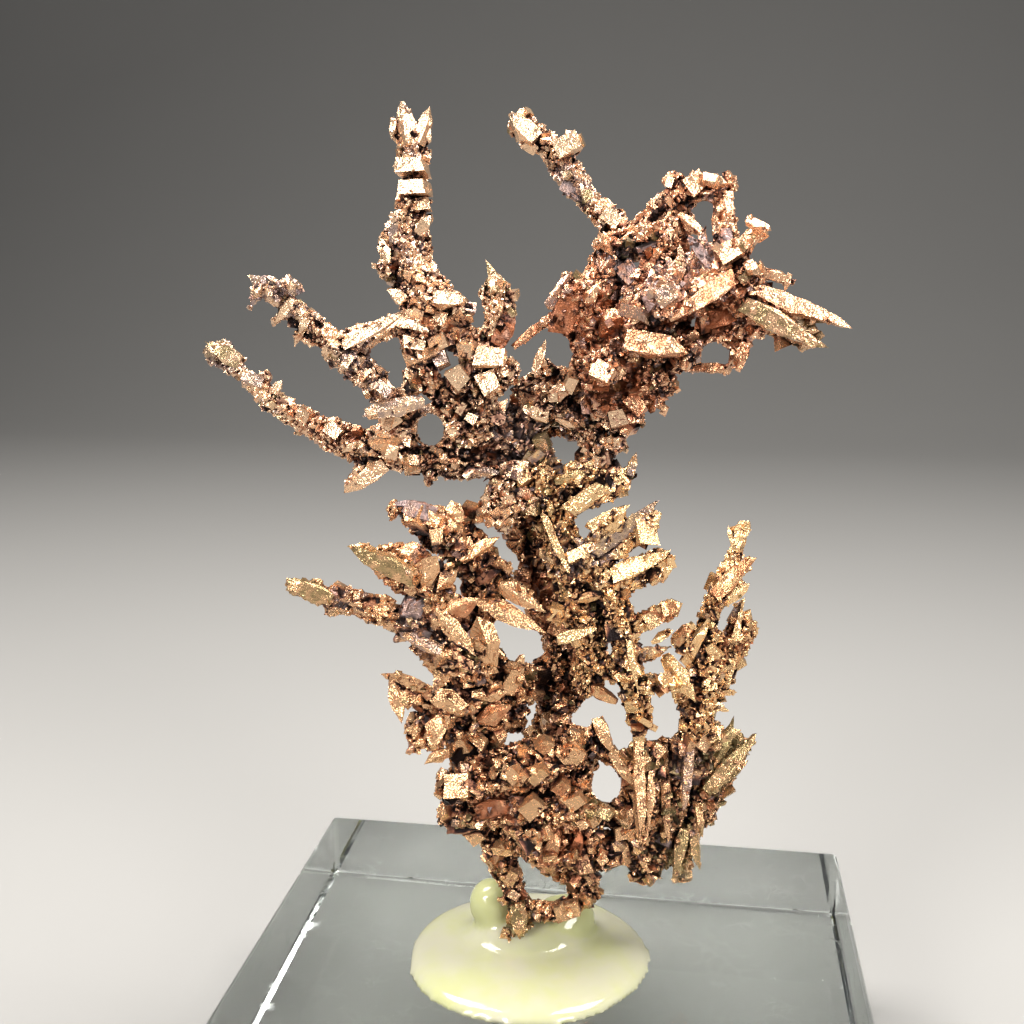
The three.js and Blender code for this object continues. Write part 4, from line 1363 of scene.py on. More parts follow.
@dataclass
class GluePad:
    """The puddle of glue with its mound and its two lumps."""

    centre: tuple[float, float] = (-1.5, 3.1)
    turn: float = math.radians(8.6)
    radius: float = 7.6
    depth_share: float = 0.93
    height: float = 1.15
    mound_radius: float = 4.6
    mound_depth_share: float = 0.72
    mound_back: float = 1.1
    mound_height: float = 2.3
    dip: float = 0.05
    rings: int = 56
    segments: int = 112
    voxel: float = 0.28
    melt_rounds: int = 4
    lumps: tuple[tuple[Place, Place], ...] = (
        ((-2.3, 1.3, 2.9), (1.5, 1.45, 1.6)),
        ((2.3, 1.4, 1.9), (1.95, 1.55, 1.3)),
    )
    finish: GlueFinish = GlueFinish()

    def surface(self, share: float, across: np.ndarray, deep: np.ndarray) -> np.ndarray:
        """Gives the glue's height round one ring.

        Args:
            share: The ring's size as a share of the puddle's radius.
            across: The ring's places from left to right.
            deep: The ring's places from front to back.

        Returns:
            The height above the block at each place, in millimetres.
        """
        bead = self.height * 0.95 * math.sqrt(max(0.0, 1 - share**3.4))
        mound_depth = self.mound_radius * self.mound_depth_share
        away = np.hypot(across / self.mound_radius, (deep - self.mound_back) / mound_depth)
        return bead + (self.mound_height - self.height) * (1 - stepped(away, 0.5, 0.95))

    def body(self) -> tuple[np.ndarray, np.ndarray]:
        """Lays out the puddle and its lumps as closed forms.

        Returns:
            The points in the pad's own millimetres, and the triangles.
        """
        angles = np.linspace(0, 2 * math.pi, self.segments, endpoint=False)
        wave = 1 + 0.012 * np.sin(angles * 2 + 0.8) + 0.008 * np.sin(angles * 5 + 2.0)
        shares = np.sin(np.linspace(0, math.pi / 2, self.rings))[1:]
        top = float(self.surface(0.0, np.zeros(1), np.zeros(1))[0])
        points, faces = [(0.0, 0.0, top), (0.0, 0.0, -self.dip)], []
        for share in (*shares, None):
            reach = self.radius * (1.0 if share is None else share) * wave * 0.985
            across, deep = reach * np.cos(angles), reach * np.sin(angles) * self.depth_share
            heights = np.full(self.segments, -self.dip)
            if share is not None:
                heights = self.surface(share, across, deep)
            points += zip(across.tolist(), deep.tolist(), heights.tolist())
        last = len(shares)
        for k in range(self.segments):
            n = (k + 1) % self.segments
            faces.append((0, 2 + k, 2 + n))
            faces.append((1, 2 + last * self.segments + n, 2 + last * self.segments + k))
            for ring in range(last):
                a, b = 2 + ring * self.segments, 2 + (ring + 1) * self.segments
                faces += [(a + k, b + k, b + n), (a + k, b + n, a + n)]
        ball = bmesh.new()
        bmesh.ops.create_icosphere(ball, subdivisions=4, radius=1.0)
        shape = np.array([v.co for v in ball.verts])
        shell = [[v.index for v in f.verts] for f in ball.faces]
        ball.free()
        gathered = np.array(points)
        for at, size in self.lumps:
            faces += [tuple(len(gathered) + k for k in corners) for corners in shell]
            gathered = np.concatenate([gathered, shape * np.array(size) + np.array(at)])
        return gathered, np.array(faces)

    def build(self) -> bpy.types.Object:
        """Melts puddle and lumps into one smooth pad.

        Returns:
            The finished piece, in place of its solid.
        """
        points, faces, _ = remeshed(*self.body(), self.voxel)
        mesh = bpy.data.meshes.new("glue")
        mesh.from_pydata(points.tolist(), [], faces.tolist())
        melted = bmesh.new()
        melted.from_mesh(mesh)
        upper = [v for v in melted.verts if v.co.z > self.dip]
        for _ in range(self.melt_rounds):
            bmesh.ops.smooth_vert(
                melted, verts=upper, factor=0.5, use_axis_x=True, use_axis_y=True, use_axis_z=True
            )
        melted.to_mesh(mesh)
        melted.free()
        local = np.zeros(len(mesh.vertices) * 3)
        mesh.vertices.foreach_get("co", local)
        local = local.reshape(-1, 3)
        lump = np.zeros(len(local))
        for at, size in self.lumps:
            away = np.linalg.norm((local - np.array(at)) / np.array(size), axis=1)
            lump = np.maximum(lump, stepped(1.35 - away, 0.0, 0.3))
        mesh.attributes.new("lump", "FLOAT", "POINT").data.foreach_set("value", lump.astype(np.float32))
        cosine, sine = math.cos(self.turn), math.sin(self.turn)
        world = np.stack(
            [
                local[:, 0] * cosine - local[:, 1] * sine + self.centre[0],
                local[:, 0] * sine + local[:, 1] * cosine + self.centre[1],
                local[:, 2] + BLOCK_TOP,
            ],
            axis=1,
        )
        mesh.vertices.foreach_set("co", (world * MM).astype(np.float32).ravel())
        mesh.polygons.foreach_set("use_smooth", np.ones(len(mesh.polygons), dtype=bool))
        mesh.update()
        made = placed("glue", mesh)
        mesh.materials.append(self.finish.material())
        return settle(made, "glue", "glue_pad")


@dataclass(frozen=True)
class FloorFinish:
    """Plain pale matt floor with a faint mottle."""

    name: str = "pale_floor"
    light: Colour = srgb(156, 155, 153)
    dark: Colour = srgb(150, 149, 147)

    def material(self) -> bpy.types.Material:
        """Makes the finish.

        Returns:
            The finish's material.
        """
        made, bench, shader = new_material(self.name)
        place = bench.add("TexCoord").outputs["Object"]
        bench.link(bench.mix(bench.noise(place, 8.0), self.light, self.dark), shader.inputs["Base Color"])
        shader.inputs["Roughness"].default_value = 0.85
        return made


@dataclass
class Softbox:
    """One broad studio lamp, in millimetres."""

    name: str
    place: Place
    aim: Place
    width: float
    height: float
    watts: float
    tint: tuple[float, float, float] = (1.0, 0.97, 0.93)

    def build(self) -> None:
        """Hangs the lamp and points it at its aim."""
        lamp = bpy.data.lights.new(self.name, "AREA")
        lamp.shape = "RECTANGLE"
        lamp.size, lamp.size_y = self.width * MM, self.height * MM
        lamp.energy, lamp.color = self.watts, self.tint
        made = placed(self.name, lamp)
        made.location = Vector(self.place) * MM
        made.rotation_euler = (Vector(self.aim) - Vector(self.place)).to_track_quat("-Z", "Y").to_euler()


@dataclass
class Studio:
    """Floor, lamps and camera."""

    camera_place: Place = CAMERA_PLACE
    camera_turn: Place = (77.0, 0.0, 8.6)
    lens: float = 41.4
    floor_reach: float = 900.0
    floor_drop: float = 0.08
    sweep_start: float = 260.0
    sweep_radius: float = 260.0
    sweep_steps: int = 24
    sky: Colour = (0.9, 0.93, 1.0, 1.0)
    sky_strength: float = 0.06
    finish: FloorFinish = FloorFinish()
    lamps: tuple[Softbox, ...] = (
        Softbox("top_left_light", (-95, 5, 225), (0, 0, 30), 80, 110, 0.65),
        Softbox("top_right_light", (95, 5, 225), (0, 0, 30), 80, 110, 0.65),
        Softbox("left_light", (-150, -220, 190), (0, 0, 35), 90, 120, 0.78),
        Softbox("right_light", (180, -200, 150), (0, 0, 35), 90, 120, 0.63),
    )

    def floor(self) -> None:
        """Lays the floor, which sweeps up behind the specimen."""
        steps = [(-self.floor_reach, -self.floor_drop), (self.sweep_start, -self.floor_drop)]
        for k in range(1, self.sweep_steps + 1):
            angle = math.pi / 2 * k / self.sweep_steps
            back = self.sweep_start + self.sweep_radius * math.sin(angle)
            steps.append((back, self.sweep_radius * (1 - math.cos(angle)) - self.floor_drop))
        steps.append((steps[-1][0], self.floor_reach))
        points = [(x * self.floor_reach * MM, y * MM, z * MM) for y, z in steps for x in (-1, 1)]
        faces = [(2 * k, 2 * k + 1, 2 * k + 3, 2 * k + 2) for k in range(len(steps) - 1)]
        mesh = bpy.data.meshes.new("floor")
        mesh.from_pydata(points, [], faces)
        mesh.polygons.foreach_set("use_smooth", np.ones(len(faces), dtype=bool))
        made = placed("floor", mesh)
        mesh.materials.append(self.finish.material())

    def camera(self) -> None:
        """Sets the camera at the viewing angle."""
        lens = bpy.data.cameras.new("camera")
        lens.lens, lens.sensor_width = self.lens, 36.0
        lens.clip_start, lens.clip_end = 0.002, 10.0
        made = placed("camera", lens)
        made.location = Vector(self.camera_place) * MM
        made.rotation_euler = [math.radians(angle) for angle in self.camera_turn]
        bpy.context.scene.camera = made

    def build(self) -> None:
        """Sets up the whole studio."""
        self.camera()
        self.floor()
        for lamp in self.lamps:
            lamp.build()
        world = bpy.data.worlds.new("studio")
        world.use_nodes = True
        background = next(node for node in world.node_tree.nodes if node.type == "BACKGROUND")
        background.inputs["Color"].default_value = self.sky
        background.inputs["Strength"].default_value = self.sky_strength
        bpy.context.scene.world = world
        bpy.context.scene.view_settings.view_transform = "Standard"


# The second colour of each finish is its painted highlight.
GILT = CopperFinish("copper_gilt", body=srgb(188, 136, 98), painted_highlight=srgb(240, 198, 146))
RUSSET = CopperFinish("copper_russet", body=srgb(178, 120, 94), painted_highlight=srgb(234, 186, 148))
ASHEN = CopperFinish("copper_ashen", body=srgb(178, 134, 112), painted_highlight=srgb(234, 196, 160))
BROWN = CopperFinish("copper_brown", body=srgb(164, 112, 86), painted_highlight=srgb(226, 178, 134))


OPENINGS: tuple[Opening, ...] = (
    Opening((-6.9, 1.6, 45.4), 0.67, 0.81),
    Opening((8.5, 1.2, 49.8), 0.66, 0.58),
    Opening((6.7, 3.6, 28.0), 0.56, 0.92),
    Opening((3.1, 3.2, 23.9), 0.81, 0.99),
    Opening((-2.3, 3.5, 32.5), 1.3, 1.01),
    Opening((-1.1, 3.7, 31.6), 0.65, 0.53),
    Opening((-6.0, 1.8, 48.9), 0.44, 0.44),
    Opening((-8.7, 1.0, 48.3), 0.36, 0.36),
    Opening((2.5, 3.2, 28.2), 1.18, 0.71),
    Opening((3.7, 3.4, 27.1), 0.71, 0.89),
    Opening((1.5, 3.1, 27.9), 0.47, 0.42),
    Opening((-0.9, 2.2, 50.2), 0.76, 0.93),
    Opening((0.4, 2.1, 50.2), 0.27, 0.43),
    Opening((7.7, 3.1, 57.1), 0.45, 0.66),
    Opening((-9.5, 0.4, 50.0), 0.46, 0.46),
    Opening((1.8, 2.4, 40.6), 0.48, 0.42),
)

SHOWPIECES: dict[str, tuple[Showpiece, ...]] = {
    "right_fern": (
        Showpiece(Habit.TONGUE, (1.2, 1.8, 41.2), (4.3, 2, 43.6), 1.06, 0.5, 0.95),
        Showpiece(Habit.SPEAR, (4.2, 1.7, 43.2), (4.5, 2, 44.4), 0.55, 0.8, 0.6, Stain.ASH),
        Showpiece(Habit.TONGUE, (2.6, 1.3, 39), (5.9, 1.4, 41.8), 1, 0.5, 0.85, Stain.ASH),
        Showpiece(Habit.TONGUE, (2.2, 1.6, 40.1), (4.2, 1.6, 41.5), 0.84, 0.6, 0.9),
        Showpiece(Habit.TONGUE, (3.7, 1, 37.7), (6.5, 1, 39), 1.11, 0.55, 0.95),
        Showpiece(Habit.BLOCK, (5.3, 1.2, 34.8), (6.9, 1.5, 35.9), 0.9, 0.8, 0.7, Stain.RUSSET),
        Showpiece(Habit.SPEAR, (4.3, 0.9, 34.6), (5, -0.1, 31.1), 0.34, 0.9, 0.9),
        Showpiece(Habit.TONGUE, (-0.5, 1.6, 40.6), (1, 0.8, 37.6), 0.5, 0.5, 0.95),
        Showpiece(Habit.TONGUE, (0.8, 1.3, 38.3), (3, 1.4, 39.5), 0.78, 0.6, 0.85),
        Showpiece(Habit.LEAF, (1.3, 1.4, 35.9), (3.4, 1.3, 36.6), 0.73, 0.6, 0.8),
        Showpiece(Habit.LEAF, (5.7, 1.5, 33.7), (6.8, 1.8, 34.3), 0.68, 0.7, 0.6),
        Showpiece(Habit.TONGUE, (2.4, 2.2, 30.3), (3.8, 2, 29.7), 0.81, 0.7, 0.6, Stain.RUSSET),
        Showpiece(Habit.LEAF, (0.2, 1.7, 42.7), (2, 1.7, 43.3), 0.78, 0.6, 0.7, Stain.OLIVE),
        Showpiece(Habit.TONGUE, (0.5, 0.9, 33.7), (2.5, 0.9, 34.5), 0.73, 0.6, 0.75),
    ),
    "right_fan": (
        Showpiece(Habit.LEAF, (6.5, 2.5, 32.2), (8.3, 1.7, 30), 1.38, 0.35, 0.95),
        Showpiece(Habit.SPEAR, (10.1, 5.4, 38.4), (9.7, 5.7, 39.6), 0.35, 0.8, 0.7),
        Showpiece(Habit.SPEAR, (10.3, 5.4, 38.6), (10.5, 5.8, 39.9), 0.46, 0.8, 0.8),
        Showpiece(Habit.SPEAR, (10.4, 5.3, 38.5), (10.9, 5.7, 39.7), 0.35, 0.8, 0.7),
        Showpiece(Habit.TONGUE, (9.3, 4.5, 35.8), (11.2, 5, 37.9), 0.99, 0.35, 0.7, Stain.RUSSET),
        Showpiece(Habit.LEAF, (9.6, 4.6, 35.1), (11.2, 4.9, 36.4), 0.81, 0.4, 0.8),
        Showpiece(Habit.TONGUE, (10, 5, 30.1), (10.9, 6.2, 34.9), 0.65, 0.6, 0.2),
        Showpiece(Habit.SPEAR, (10.2, 6.3, 33.7), (10.9, 6.4, 35.1), 0.48, 0.6, 0.6, Stain.ASH),
        Showpiece(Habit.SPEAR, (9.7, 4.7, 29.6), (10.7, 4.8, 29.6), 0.36, 0.8, 0.6),
        Showpiece(Habit.TONGUE, (7.6, 3.6, 31.9), (8.8, 3.9, 34.4), 0.81, 0.5, 0.55),
        Showpiece(Habit.TONGUE, (7, 3.2, 33.2), (7.9, 3.3, 34.3), 0.75, 0.6, 0.6, Stain.RUSSET),
    ),
    "right_blades": (
        Showpiece(Habit.TONGUE, (9.1, 4.5, 23.3), (11.8, 5.5, 26.5), 1.03, 0.6, 0.6, Stain.OLIVE),
        Showpiece(Habit.LEAF, (9.5, 5, 24.6), (10.6, 5.9, 27.8), 0.85, 0.5, 0.65, Stain.OLIVE),
        Showpiece(Habit.TONGUE, (9.9, 5.7, 23.4), (11.5, 6.2, 24.6), 0.74, 0.6, 0.5, Stain.OLIVE),
        Showpiece(Habit.TONGUE, (7.8, 4.3, 20.6), (7.3, 3.4, 17.7), 0.85, 0.7, 0.6, Stain.OLIVE),
        Showpiece(Habit.TONGUE, (8.3, 4.5, 20.9), (8.8, 3.8, 18.5), 0.67, 0.7, 0.6, Stain.OLIVE),
        Showpiece(Habit.SPEAR, (8.6, 4.2, 22.4), (9, 3.8, 20.5), 0.54, 0.7, 0.5, Stain.OLIVE),
        Showpiece(Habit.TONGUE, (5.1, 2.2, 26.6), (5.3, 0.7, 21.4), 0.76, 0.6, 0.22),
        Showpiece(Habit.TONGUE, (6.5, 3.9, 25.9), (6.9, 2.4, 20.8), 0.72, 0.6, 0.25),
        Showpiece(Habit.SPEAR, (5.8, 2.6, 25.3), (5.8, 1.6, 22), 0.53, 0.6, 0.3),
        Showpiece(Habit.TONGUE, (8, 3.8, 26.7), (7.7, 2.6, 22.8), 0.77, 0.6, 0.5, Stain.ASH),
        Showpiece(Habit.DODECAHEDRON, (5.7, 3.1, 17.6), (6, 3.2, 17.9), 0.73, 1, 0.5, Stain.OLIVE),
        Showpiece(Habit.LEAF, (9.5, 4.6, 26.6), (11.1, 4.9, 27.2), 0.78, 0.6, 0.6, Stain.OLIVE),
    ),
    "top_spire": (
        Showpiece(Habit.LEAF, (-8.2, 3, 60.8), (-8.6, 3.4, 63.1), 1.14, 0.7, 0.95),
        Showpiece(Habit.LEAF, (-7.6, 3.1, 60.9), (-7.1, 3.6, 62.8), 0.97, 0.7, 0.95),
        Showpiece(Habit.SPEAR, (-9, 3.2, 61.9), (-9.2, 3, 60.9), 0.43, 0.8, 0.8),
        Showpiece(Habit.BLOCK, (-8, 2.6, 59.1), (-8, 2.8, 59.9), 1.73, 0.9, 0.95),
        Showpiece(Habit.BLOCK, (-7.8, 2.5, 58), (-7.8, 2.6, 58.8), 1.68, 0.9, 0.9),
        Showpiece(Habit.BLOCK, (-7.5, 2.8, 57.2), (-7.6, 2.9, 57.9), 1.09, 0.9, 0.9),
        Showpiece(Habit.TONGUE, (-8.8, 1.4, 55.7), (-8.6, 1.5, 57.2), 0.54, 0.5, 0.85, Stain.ASH),
        Showpiece(Habit.TONGUE, (-6.3, 0.9, 52.6), (-4.7, 0.9, 52.5), 1.02, 0.8, 0.9),
        Showpiece(Habit.LEAF, (-9, 1, 54.6), (-9.5, 1.3, 55.9), 0.65, 0.6, 0.85),
        Showpiece(Habit.TONGUE, (-8.3, 1.4, 52.5), (-9.1, 1.2, 53.1), 0.76, 0.7, 0.9),
        Showpiece(Habit.TONGUE, (-7.5, 2.2, 56.1), (-6.9, 2.2, 57), 0.76, 0.7, 0.9),
    ),
    "hub": (
        Showpiece(Habit.TONGUE, (-3.1, 1.7, 50.3), (-2.4, 2.1, 52.3), 1.14, 0.4, 0.6, Stain.RUSSET),
        Showpiece(Habit.LEAF, (-2.4, 1.9, 51.9), (-3.7, 2, 54.4), 1.03, 0.5, 0.7, Stain.OLIVE),
        Showpiece(Habit.BLOCK, (-4.2, 0.7, 49.6), (-2.6, 0.6, 49.5), 1.19, 0.35, 0.7),
        Showpiece(Habit.BLOCK, (-5.5, 0.6, 48.2), (-4.7, 0.6, 48.8), 1.19, 0.7, 0.9),
        Showpiece(Habit.BLOCK, (-3.9, 0.9, 47.9), (-3, 0.9, 48.4), 1.31, 0.6, 0.95),
        Showpiece(Habit.BLOCK, (-7.4, 1.3, 50.6), (-6.7, 1.3, 51.3), 0.98, 0.6, 0.95),
        Showpiece(Habit.BLOCK, (-4.1, 0.8, 40.9), (-3.7, 0.5, 41.2), 0.5, 0.9, 1),
        Showpiece(Habit.BLOCK, (-3.7, 1, 40.6), (-3.3, 0.7, 41), 0.5, 0.9, 1),
        Showpiece(Habit.BLOCK, (-3.2, 0.7, 40.8), (-2.8, 0.5, 41.2), 0.5, 0.9, 1),
        Showpiece(Habit.BLOCK, (-2.7, 0.7, 40.8), (-2.3, 0.4, 41.2), 0.5, 0.9, 1),
        Showpiece(Habit.BLOCK, (-2.3, 0.9, 40.9), (-1.9, 0.7, 41.3), 0.5, 0.9, 1),
        Showpiece(Habit.BLOCK, (-3.5, 0.6, 40.3), (-3.2, 0.3, 40.6), 0.44, 0.9, 0.9),
        Showpiece(Habit.BLOCK, (-3, 0.7, 40.3), (-2.6, 0.4, 40.6), 0.44, 0.9, 0.95),
        Showpiece(Habit.BLOCK, (-2.5, 0.6, 40.4), (-2.2, 0.3, 40.7), 0.44, 0.9, 0.9),
        Showpiece(Habit.TONGUE, (-3.1, 2.3, 45.9), (-4.7, 1.7, 46.5), 0.84, 0.6, 0.75),
        Showpiece(Habit.TONGUE, (-0.6, 2.5, 46.2), (-1.8, 1.9, 46.7), 0.89, 0.7, 0.9),
        Showpiece(Habit.BLOCK, (0, 1.9, 47.4), (0.6, 1.7, 47.9), 0.88, 0.8, 0.8, Stain.RUSSET),
        Showpiece(Habit.LEAF, (0.2, 2.3, 46), (1.6, 2.1, 45.7), 0.72, 0.6, 0.7),
        Showpiece(Habit.BLOCK, (-1.2, 3.2, 44.5), (-0.5, 3, 44.7), 0.91, 0.7, 0.8, Stain.OLIVE),
        Showpiece(Habit.TONGUE, (-4.8, 2, 43.1), (-3.1, 1.9, 42.9), 0.68, 0.6, 0.7, Stain.ASH),
        Showpiece(Habit.BLOCK, (-6.5, 1.5, 49.8), (-6, 1, 49), 0.93, 0.7, 0.7, Stain.ASH),
    ),
    "high_left_arm": (
        Showpiece(Habit.SPEAR, (-13.4, -2.1, 52.6), (-14.2, -2.5, 51.5), 0.47, 0.8, 0.85),
        Showpiece(Habit.SPEAR, (-12.6, -1.8, 51.8), (-13.1, -2.2, 50.8), 0.47, 0.8, 0.85),
        Showpiece(Habit.SPEAR, (-14.8, -2.4, 53.6), (-15.5, -2.8, 52.5), 0.52, 0.8, 0.8, Stain.ASH),
        Showpiece(Habit.TONGUE, (-14.6, -2.4, 53.4), (-15.6, -2.4, 53.9), 0.57, 0.8, 0.8, Stain.ASH),
        Showpiece(Habit.DODECAHEDRON, (-13.6, -2.4, 53.2), (-13, -2.3, 53.4), 1.25, 1, 0.8, Stain.ASH),
        Showpiece(Habit.LEAF, (-7.1, 0, 47.2), (-10.1, -1.2, 46.5), 1.3, 0.35, 0.85, Stain.ASH),
        Showpiece(Habit.TONGUE, (-10.6, -1.2, 50.4), (-8.1, -0.8, 51.7), 0.69, 0.7, 0.9),
        Showpiece(Habit.TONGUE, (-8.7, 0.3, 51.5), (-6.6, 0.2, 51), 0.7, 0.7, 0.9),
        Showpiece(Habit.LEAF, (-12, -1.4, 51.5), (-12.9, -1.5, 52), 0.63, 0.7, 0.8, Stain.ASH),
        Showpiece(Habit.SPEAR, (-10.6, -1.2, 49.6), (-11.2, -1.6, 48.9), 0.43, 0.8, 0.7),
        Showpiece(Habit.SPEAR, (-9.9, -0.8, 48.7), (-10.5, -1.1, 48.1), 0.43, 0.8, 0.7, Stain.RUSSET),
        Showpiece(Habit.BLOCK, (-9.3, -0.5, 48.2), (-8.6, -0.8, 47.6), 0.7, 0.8, 0.8, Stain.ASH),
    ),
    "low_left_arm": (
        Showpiece(Habit.TONGUE, (-9.8, 1.3, 43.3), (-11.6, 0.4, 41.9), 1.07, 0.6, 0.85),
        Showpiece(Habit.SPEAR, (-16.1, 2, 47.3), (-15.7, 2.3, 47.9), 0.51, 0.8, 0.7),
        Showpiece(Habit.TONGUE, (-18.5, 2.8, 48.9), (-20.2, 2.7, 49.8), 1.09, 0.8, 0.7, Stain.OLIVE),
        Showpiece(Habit.TONGUE, (-17, 2.5, 47.7), (-18.2, 2.3, 48.1), 0.8, 0.7, 0.7, Stain.ASH),
        Showpiece(Habit.BLOCK, (-14.6, 1.9, 46.2), (-13.9, 1.7, 45.8), 0.85, 0.8, 0.75, Stain.RUSSET),
        Showpiece(Habit.BLOCK, (-12.7, 1.4, 45.5), (-12, 1.2, 45), 0.85, 0.8, 0.75),
    ),
    "top_right_arm": (
        Showpiece(Habit.TONGUE, (-1.8, 5.9, 61.2), (-3.2, 5.9, 62.5), 1.17, 0.8, 0.95),
        Showpiece(Habit.BLOCK, (-0.5, 5.3, 60.4), (0.8, 5.5, 61.1), 1.1, 0.8, 0.9),
        Showpiece(Habit.TONGUE, (-1.7, 6.1, 60.6), (-2.6, 6.1, 61.1), 0.67, 0.8, 0.85),
        Showpiece(Habit.TONGUE, (0.1, 5, 58.6), (1.5, 4.8, 57.6), 0.83, 0.6, 0.75, Stain.ASH),
        Showpiece(Habit.BLOCK, (2.4, 3.8, 57.1), (3.2, 3.6, 56.5), 0.92, 0.8, 0.85),
    ),
    "right_cluster": (
        Showpiece(Habit.TONGUE, (10.9, 0.1, 53), (15.2, 0.2, 51.4), 0.97, 0.5, 1),
        Showpiece(Habit.TONGUE, (10.3, -0.5, 52.3), (14, -0.6, 50.4), 1.06, 0.6, 0.7, Stain.OLIVE),
        Showpiece(Habit.TONGUE, (9.6, 0.8, 55.2), (10.4, 1.2, 56.4), 0.72, 0.6, 0.7, Stain.OLIVE),
        Showpiece(Habit.TONGUE, (9.9, 0.6, 56.6), (11.1, 0.7, 56.2), 0.56, 0.7, 0.85),
        Showpiece(Habit.TONGUE, (11, 0.8, 54), (12.2, 0.9, 53.8), 0.62, 0.9, 0.95),
        Showpiece(Habit.SPEAR, (12.1, 0.9, 53.9), (11.9, 0.7, 53.1), 0.36, 0.8, 0.8),
        Showpiece(Habit.DODECAHEDRON, (10, -0.5, 53.9), (10.4, -0.5, 54.6), 1.21, 1, 1),
        Showpiece(Habit.TONGUE, (9, -0.1, 53.7), (6.4, -1.7, 51.9), 1.02, 0.6, 0.85, Stain.RUSSET),
        Showpiece(Habit.LEAF, (7.1, 0.8, 55.7), (8.5, 0.1, 53.9), 0.77, 0.4, 0.85, Stain.ASH),
        Showpiece(Habit.DODECAHEDRON, (2.3, 2.3, 55.3), (2.9, 2.2, 55.7), 1.49, 1, 1),
        Showpiece(Habit.TONGUE, (0.3, 1.3, 51.2), (1.1, 1.4, 53.5), 1.45, 0.3, 0.7, Stain.RUSSET),
        Showpiece(Habit.TONGUE, (-0.2, 1.1, 52.4), (1, 1.6, 54.2), 0.69, 0.5, 0.8, Stain.ASH),
        Showpiece(Habit.SPEAR, (-2.1, 2, 50.2), (-0.6, 2.3, 51.5), 0.44, 0.8, 0.6, Stain.RUSSET),
        Showpiece(Habit.OCTAHEDRON, (2.3, 1.3, 50.6), (3.7, 1.1, 52.2), 1.81, 0.9, 0.75, Stain.RUSSET),
        Showpiece(Habit.TONGUE, (4.3, 0, 50.5), (7.1, -0.5, 50.1), 1.41, 0.7, 0.9, Stain.RUSSET),
        Showpiece(Habit.LEAF, (5.2, 2, 46.8), (5, 2.1, 48.3), 0.82, 0.5, 0.95, Stain.RUSSET),
        Showpiece(Habit.TONGUE, (5.1, 3.1, 57.5), (6.9, 3.7, 58.8), 0.69, 0.7, 0.95),
        Showpiece(Habit.BLOCK, (6.8, 2.7, 58.3), (7.6, 2.9, 58.9), 1.05, 0.7, 1),
        Showpiece(Habit.TONGUE, (7.7, 2.4, 58.8), (8.9, 2.5, 58.5), 0.73, 0.7, 0.95),
        Showpiece(Habit.TONGUE, (8.8, 2.6, 58), (9, 2.3, 56.5), 0.68, 0.8, 0.85),
        Showpiece(Habit.TONGUE, (8.8, 1.7, 56.1), (9.1, 1.2, 54.6), 0.78, 0.7, 0.7, Stain.ASH),
        Showpiece(Habit.LEAF, (6.5, 2.4, 56.9), (7.9, 1.9, 55.8), 0.84, 0.6, 0.9),
        Showpiece(Habit.LEAF, (4.4, 2.3, 55.2), (5.9, 2.3, 55.7), 0.69, 0.6, 0.8, Stain.ASH),
        Showpiece(Habit.TONGUE, (7.7, 0.7, 51.6), (9.8, 0.5, 51.8), 1.04, 0.6, 0.75, Stain.RUSSET),
        Showpiece(Habit.TONGUE, (9.9, 0.5, 50.4), (9.7, 0, 49.1), 0.73, 0.8, 0.75, Stain.RUSSET),
        Showpiece(Habit.SPEAR, (7.3, 1.1, 49.1), (9.9, 1.3, 49.2), 0.48, 0.8, 0.7, Stain.RUSSET),
        Showpiece(Habit.BLOCK, (5.6, -1, 52.7), (6.4, -1.4, 53.3), 1.12, 0.6, 0.8, Stain.ASH),
        Showpiece(Habit.BLOCK, (3.4, 2.6, 54.3), (4.2, 2.1, 53.5), 1.07, 0.6, 0.75, Stain.ASH),
        Showpiece(Habit.OCTAHEDRON, (5.1, -0.1, 51.2), (5.8, -0.3, 52.1), 1.04, 0.8, 0.6),
        Showpiece(Habit.BLOCK, (2.4, -0.7, 49.2), (3.3, -1.2, 48.8), 0.94, 0.7, 0.85),
        Showpiece(Habit.BLOCK, (4.1, 1.3, 47.4), (4.9, 0.9, 46.7), 0.86, 0.7, 0.7, Stain.RUSSET),
        Showpiece(Habit.LEAF, (1.7, 0.9, 52.6), (2.4, 0.8, 53.5), 0.79, 0.6, 0.7, Stain.RUSSET),
        Showpiece(Habit.TONGUE, (-1.1, 1.9, 48.7), (-0.6, 2.2, 50.4), 0.55, 0.7, 0.5),
        Showpiece(Habit.BLOCK, (8.6, 0.6, 54.8), (9.5, 0.4, 55.4), 1.03, 0.7, 0.9),
    ),
    "left_fan": (
        Showpiece(Habit.TONGUE, (-11.8, -3.2, 36.9), (-14, -3.3, 37.8), 1.03, 0.7, 0.65, Stain.OLIVE),
        Showpiece(Habit.TONGUE, (-7.3, -3, 38.3), (-10.3, -3.3, 39.8), 1.23, 0.6, 0.75, Stain.OLIVE),
        Showpiece(Habit.LEAF, (-7.3, -2.2, 37.1), (-5.7, -2, 39.2), 1.77, 0.3, 0.75),
        Showpiece(Habit.LEAF, (-8, -1.8, 35.5), (-6.2, -1.6, 37.1), 1.65, 0.3, 0.75, Stain.ASH),
        Showpiece(Habit.LEAF, (-5.7, -2.2, 35.9), (-3.7, -2.9, 33.8), 1.2, 0.35, 0.7),
        Showpiece(Habit.LEAF, (-3.3, -0.1, 32.6), (-4.1, -0.2, 35.5), 1.98, 0.35, 0.75),
        Showpiece(Habit.LEAF, (-5.3, -2, 36), (-3.5, -1.9, 36.8), 1.21, 0.5, 0.45, Stain.RUSSET),
        Showpiece(Habit.LEAF, (-3.8, 0.7, 35.8), (-0.3, 0.2, 34.3), 1.39, 0.4, 0.8),
